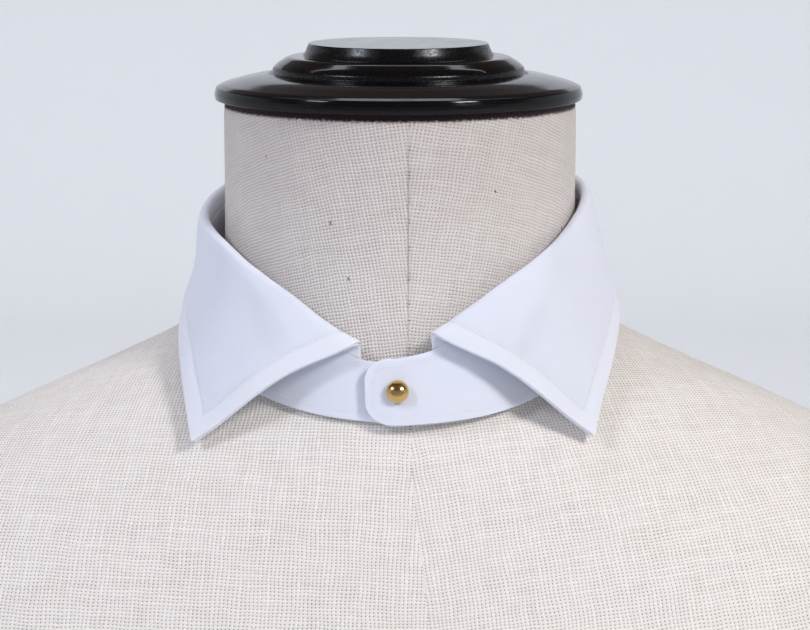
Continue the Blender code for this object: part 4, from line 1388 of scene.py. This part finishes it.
# Fingers lift the cap by its two upper tiers and scuff their sides.
cap_height = add_node(tree, "ShaderNodeSeparateXYZ", None, {0: on_cap})
tier_sides = [
    add_node(tree, "ShaderNodeMath", {"operation": "COMPARE"}, {
        0: cap_height.outputs["Z"], 1: NECK_TOP + height_mm * MM, 2: half_mm * MM})
    for height_mm, half_mm in ((18.8, 1.9), (12.2, 1.1))
]
gripped = add_node(tree, "ShaderNodeMath", {"operation": "ADD"}, {0: tier_sides[0], 1: tier_sides[1]})
scuffs = add_node(tree, "ShaderNodeMapRange", None, {
    "Value": add_node(tree, "ShaderNodeTexNoise", None, {"Vector": on_cap, "Scale": 1500.0, "Detail": 2.0}),
    "From Min": 0.35, "From Max": 0.7, "To Min": 0.08, "To Max": 0.26})
roughness = add_node(tree, "ShaderNodeMath", {"operation": "MULTIPLY_ADD"}, {
    0: gripped, 1: scuffs, 2: gloss})
dust = add_node(tree, "ShaderNodeTexNoise", None, {"Vector": on_cap, "Scale": 2600.0, "Detail": 2.0})
dusty = add_node(tree, "ShaderNodeMapRange", None, {"Value": dust, "From Min": 0.66, "From Max": 0.74})
lacquer_colour = add_node(tree, "ShaderNodeMix", {"data_type": "RGBA"}, {
    "Factor": dusty, 6: linear("#070608"), 7: linear("#33343c")})
tree.links.new(lacquer_colour.outputs[2], shader.inputs["Base Color"])
tree.links.new(roughness.outputs[0], shader.inputs["Roughness"])
hairlines = add_node(tree, "ShaderNodeBump", None, {"Strength": 0.5, "Distance": 0.004 * MM, "Height": dust})
tree.links.new(hairlines.outputs[0], shader.inputs["Normal"])

CAP_CORNERS = [
    (0.0, 20.9, 0.0), (29.5, 20.9, 0.25), (30.6, 18.2, 1.0), (31.6, 16.7, 0.35), (36.4, 16.6, 1.2),
    (39.9, 14.4, 1.5), (41.4, 12.9, 0.7), (41.5, 11.3, 0.35), (50.0, 10.0, 3.0), (58.0, 7.8, 0.6),
    (60.0, 6.8, 0.35), (60.7, 4.6, 0.8), (60.4, 2.7, 0.4), (0.0, 2.7, 0.0),
]
corners_m = [tuple(v * MM for v in corner) for corner in CAP_CORNERS]
CAP_CENTRE = place(-0.5 * MM, 0.0, 0.0)
cap = turned_piece("neck_cap_wood", corners_m, 160, Matrix.Translation(CAP_CENTRE), lacquer)
print("cap:", len(cap.data.polygons), "faces")

# %% [markdown]
# ## The hidden core and the board
#
# The moulded core shows only as a shadow in the seams, and the board only from below, so both keep
# their CAD meshes and get materials: matte moulded pulp, and plain beech.

# %% Core and board finishes
pulp, tree, shader = new_material("moulded_pulp_core", Roughness=0.9)
lumps = add_node(tree, "ShaderNodeTexNoise", None, {
    "Vector": add_node(tree, "ShaderNodeTexCoord").outputs["Object"], "Scale": 120.0, "Detail": 5.0})
pulp_tone = add_node(tree, "ShaderNodeMix", {"data_type": "RGBA"}, {
    "Factor": lumps, 6: linear("#7e7062"), 7: linear("#988975")})
tree.links.new(pulp_tone.outputs[2], shader.inputs["Base Color"])
lumpy = add_node(tree, "ShaderNodeBump", None, {"Strength": 0.5, "Distance": 0.5 * MM, "Height": lumps})
tree.links.new(lumpy.outputs[0], shader.inputs["Normal"])

beech, tree, shader = new_material("plain_beech_board", Roughness=0.55)
stretch = add_node(tree, "ShaderNodeMapping", None, {
    "Vector": add_node(tree, "ShaderNodeTexCoord").outputs["Object"], "Scale": (6.0, 160.0, 160.0)})
figure = add_node(tree, "ShaderNodeTexNoise", None, {"Vector": stretch, "Scale": 1.0, "Detail": 6.0})
beech_tone = add_node(tree, "ShaderNodeMix", {"data_type": "RGBA"}, {
    "Factor": figure, 6: linear("#a47c57"), 7: linear("#c8a27a")})
tree.links.new(beech_tone.outputs[2], shader.inputs["Base Color"])
fine = add_node(tree, "ShaderNodeBump", None, {"Strength": 0.3, "Distance": 0.1 * MM, "Height": figure})
tree.links.new(fine.outputs[0], shader.inputs["Normal"])

for node, finish in (("form_body", pulp), ("base_board", beech)):
    for material_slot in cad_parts[node].material_slots:
        material_slot.material = finish
print("core and board keep their CAD meshes")

# %% [markdown]
# ## Which piece stands for which solid
#
# Every piece rides on the one body and takes the place of its solid, whose CAD mesh is hidden. The
# size that each sheet of cloth was cut to is printed.

cotton_pieces = (
    (upper_leaf, "upper_leaf", leaf, "folded", ["band_outer_cloth"], [topstitching]),
    (under_leaf, "under_leaf", leaf[inset], "folded", ["band_outer_cloth"], []),
    (band_outer, "band_outer", band, "laid", ["neck_cover_right_linen"], [band_topstitching]),
    (band_inner, "band_inner", band, "laid", ["neck_cover_right_linen"], []),
)
for piece, node, points, held, rests_on, sewing in cotton_pieces:
    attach(piece, "root")
    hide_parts(node)
    length = float(np.linalg.norm(np.diff(points, axis=0), axis=2).sum(axis=0).max())
    width = sheet_area(points) / length
    print(piece.name, "flat", round(length * 100, 1), "by", round(width * 100, 1), "cm")
for cover, node, points in neck_covers + torso_panels:
    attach(cover, "root")
    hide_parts(node)
    length = float(np.linalg.norm(np.diff(points, axis=1), axis=2).sum(axis=1).max())
    width = sheet_area(points) / length
    print(cover.name, "flat", round(length * 100, 1), "by", round(width * 100, 1), "cm")
for piece, node, slot_name in (
    (stud, "front_stud", "gilt_brass"), (cap, "neck_cap", "black_lacquer"),
):
    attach(piece, "root")
    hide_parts(node)
for piece in (topstitching, band_topstitching, front_buttonhole, back_buttonhole):
    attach(piece, "root")
for piece in (shives, loose_loop):
    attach(piece, "root")
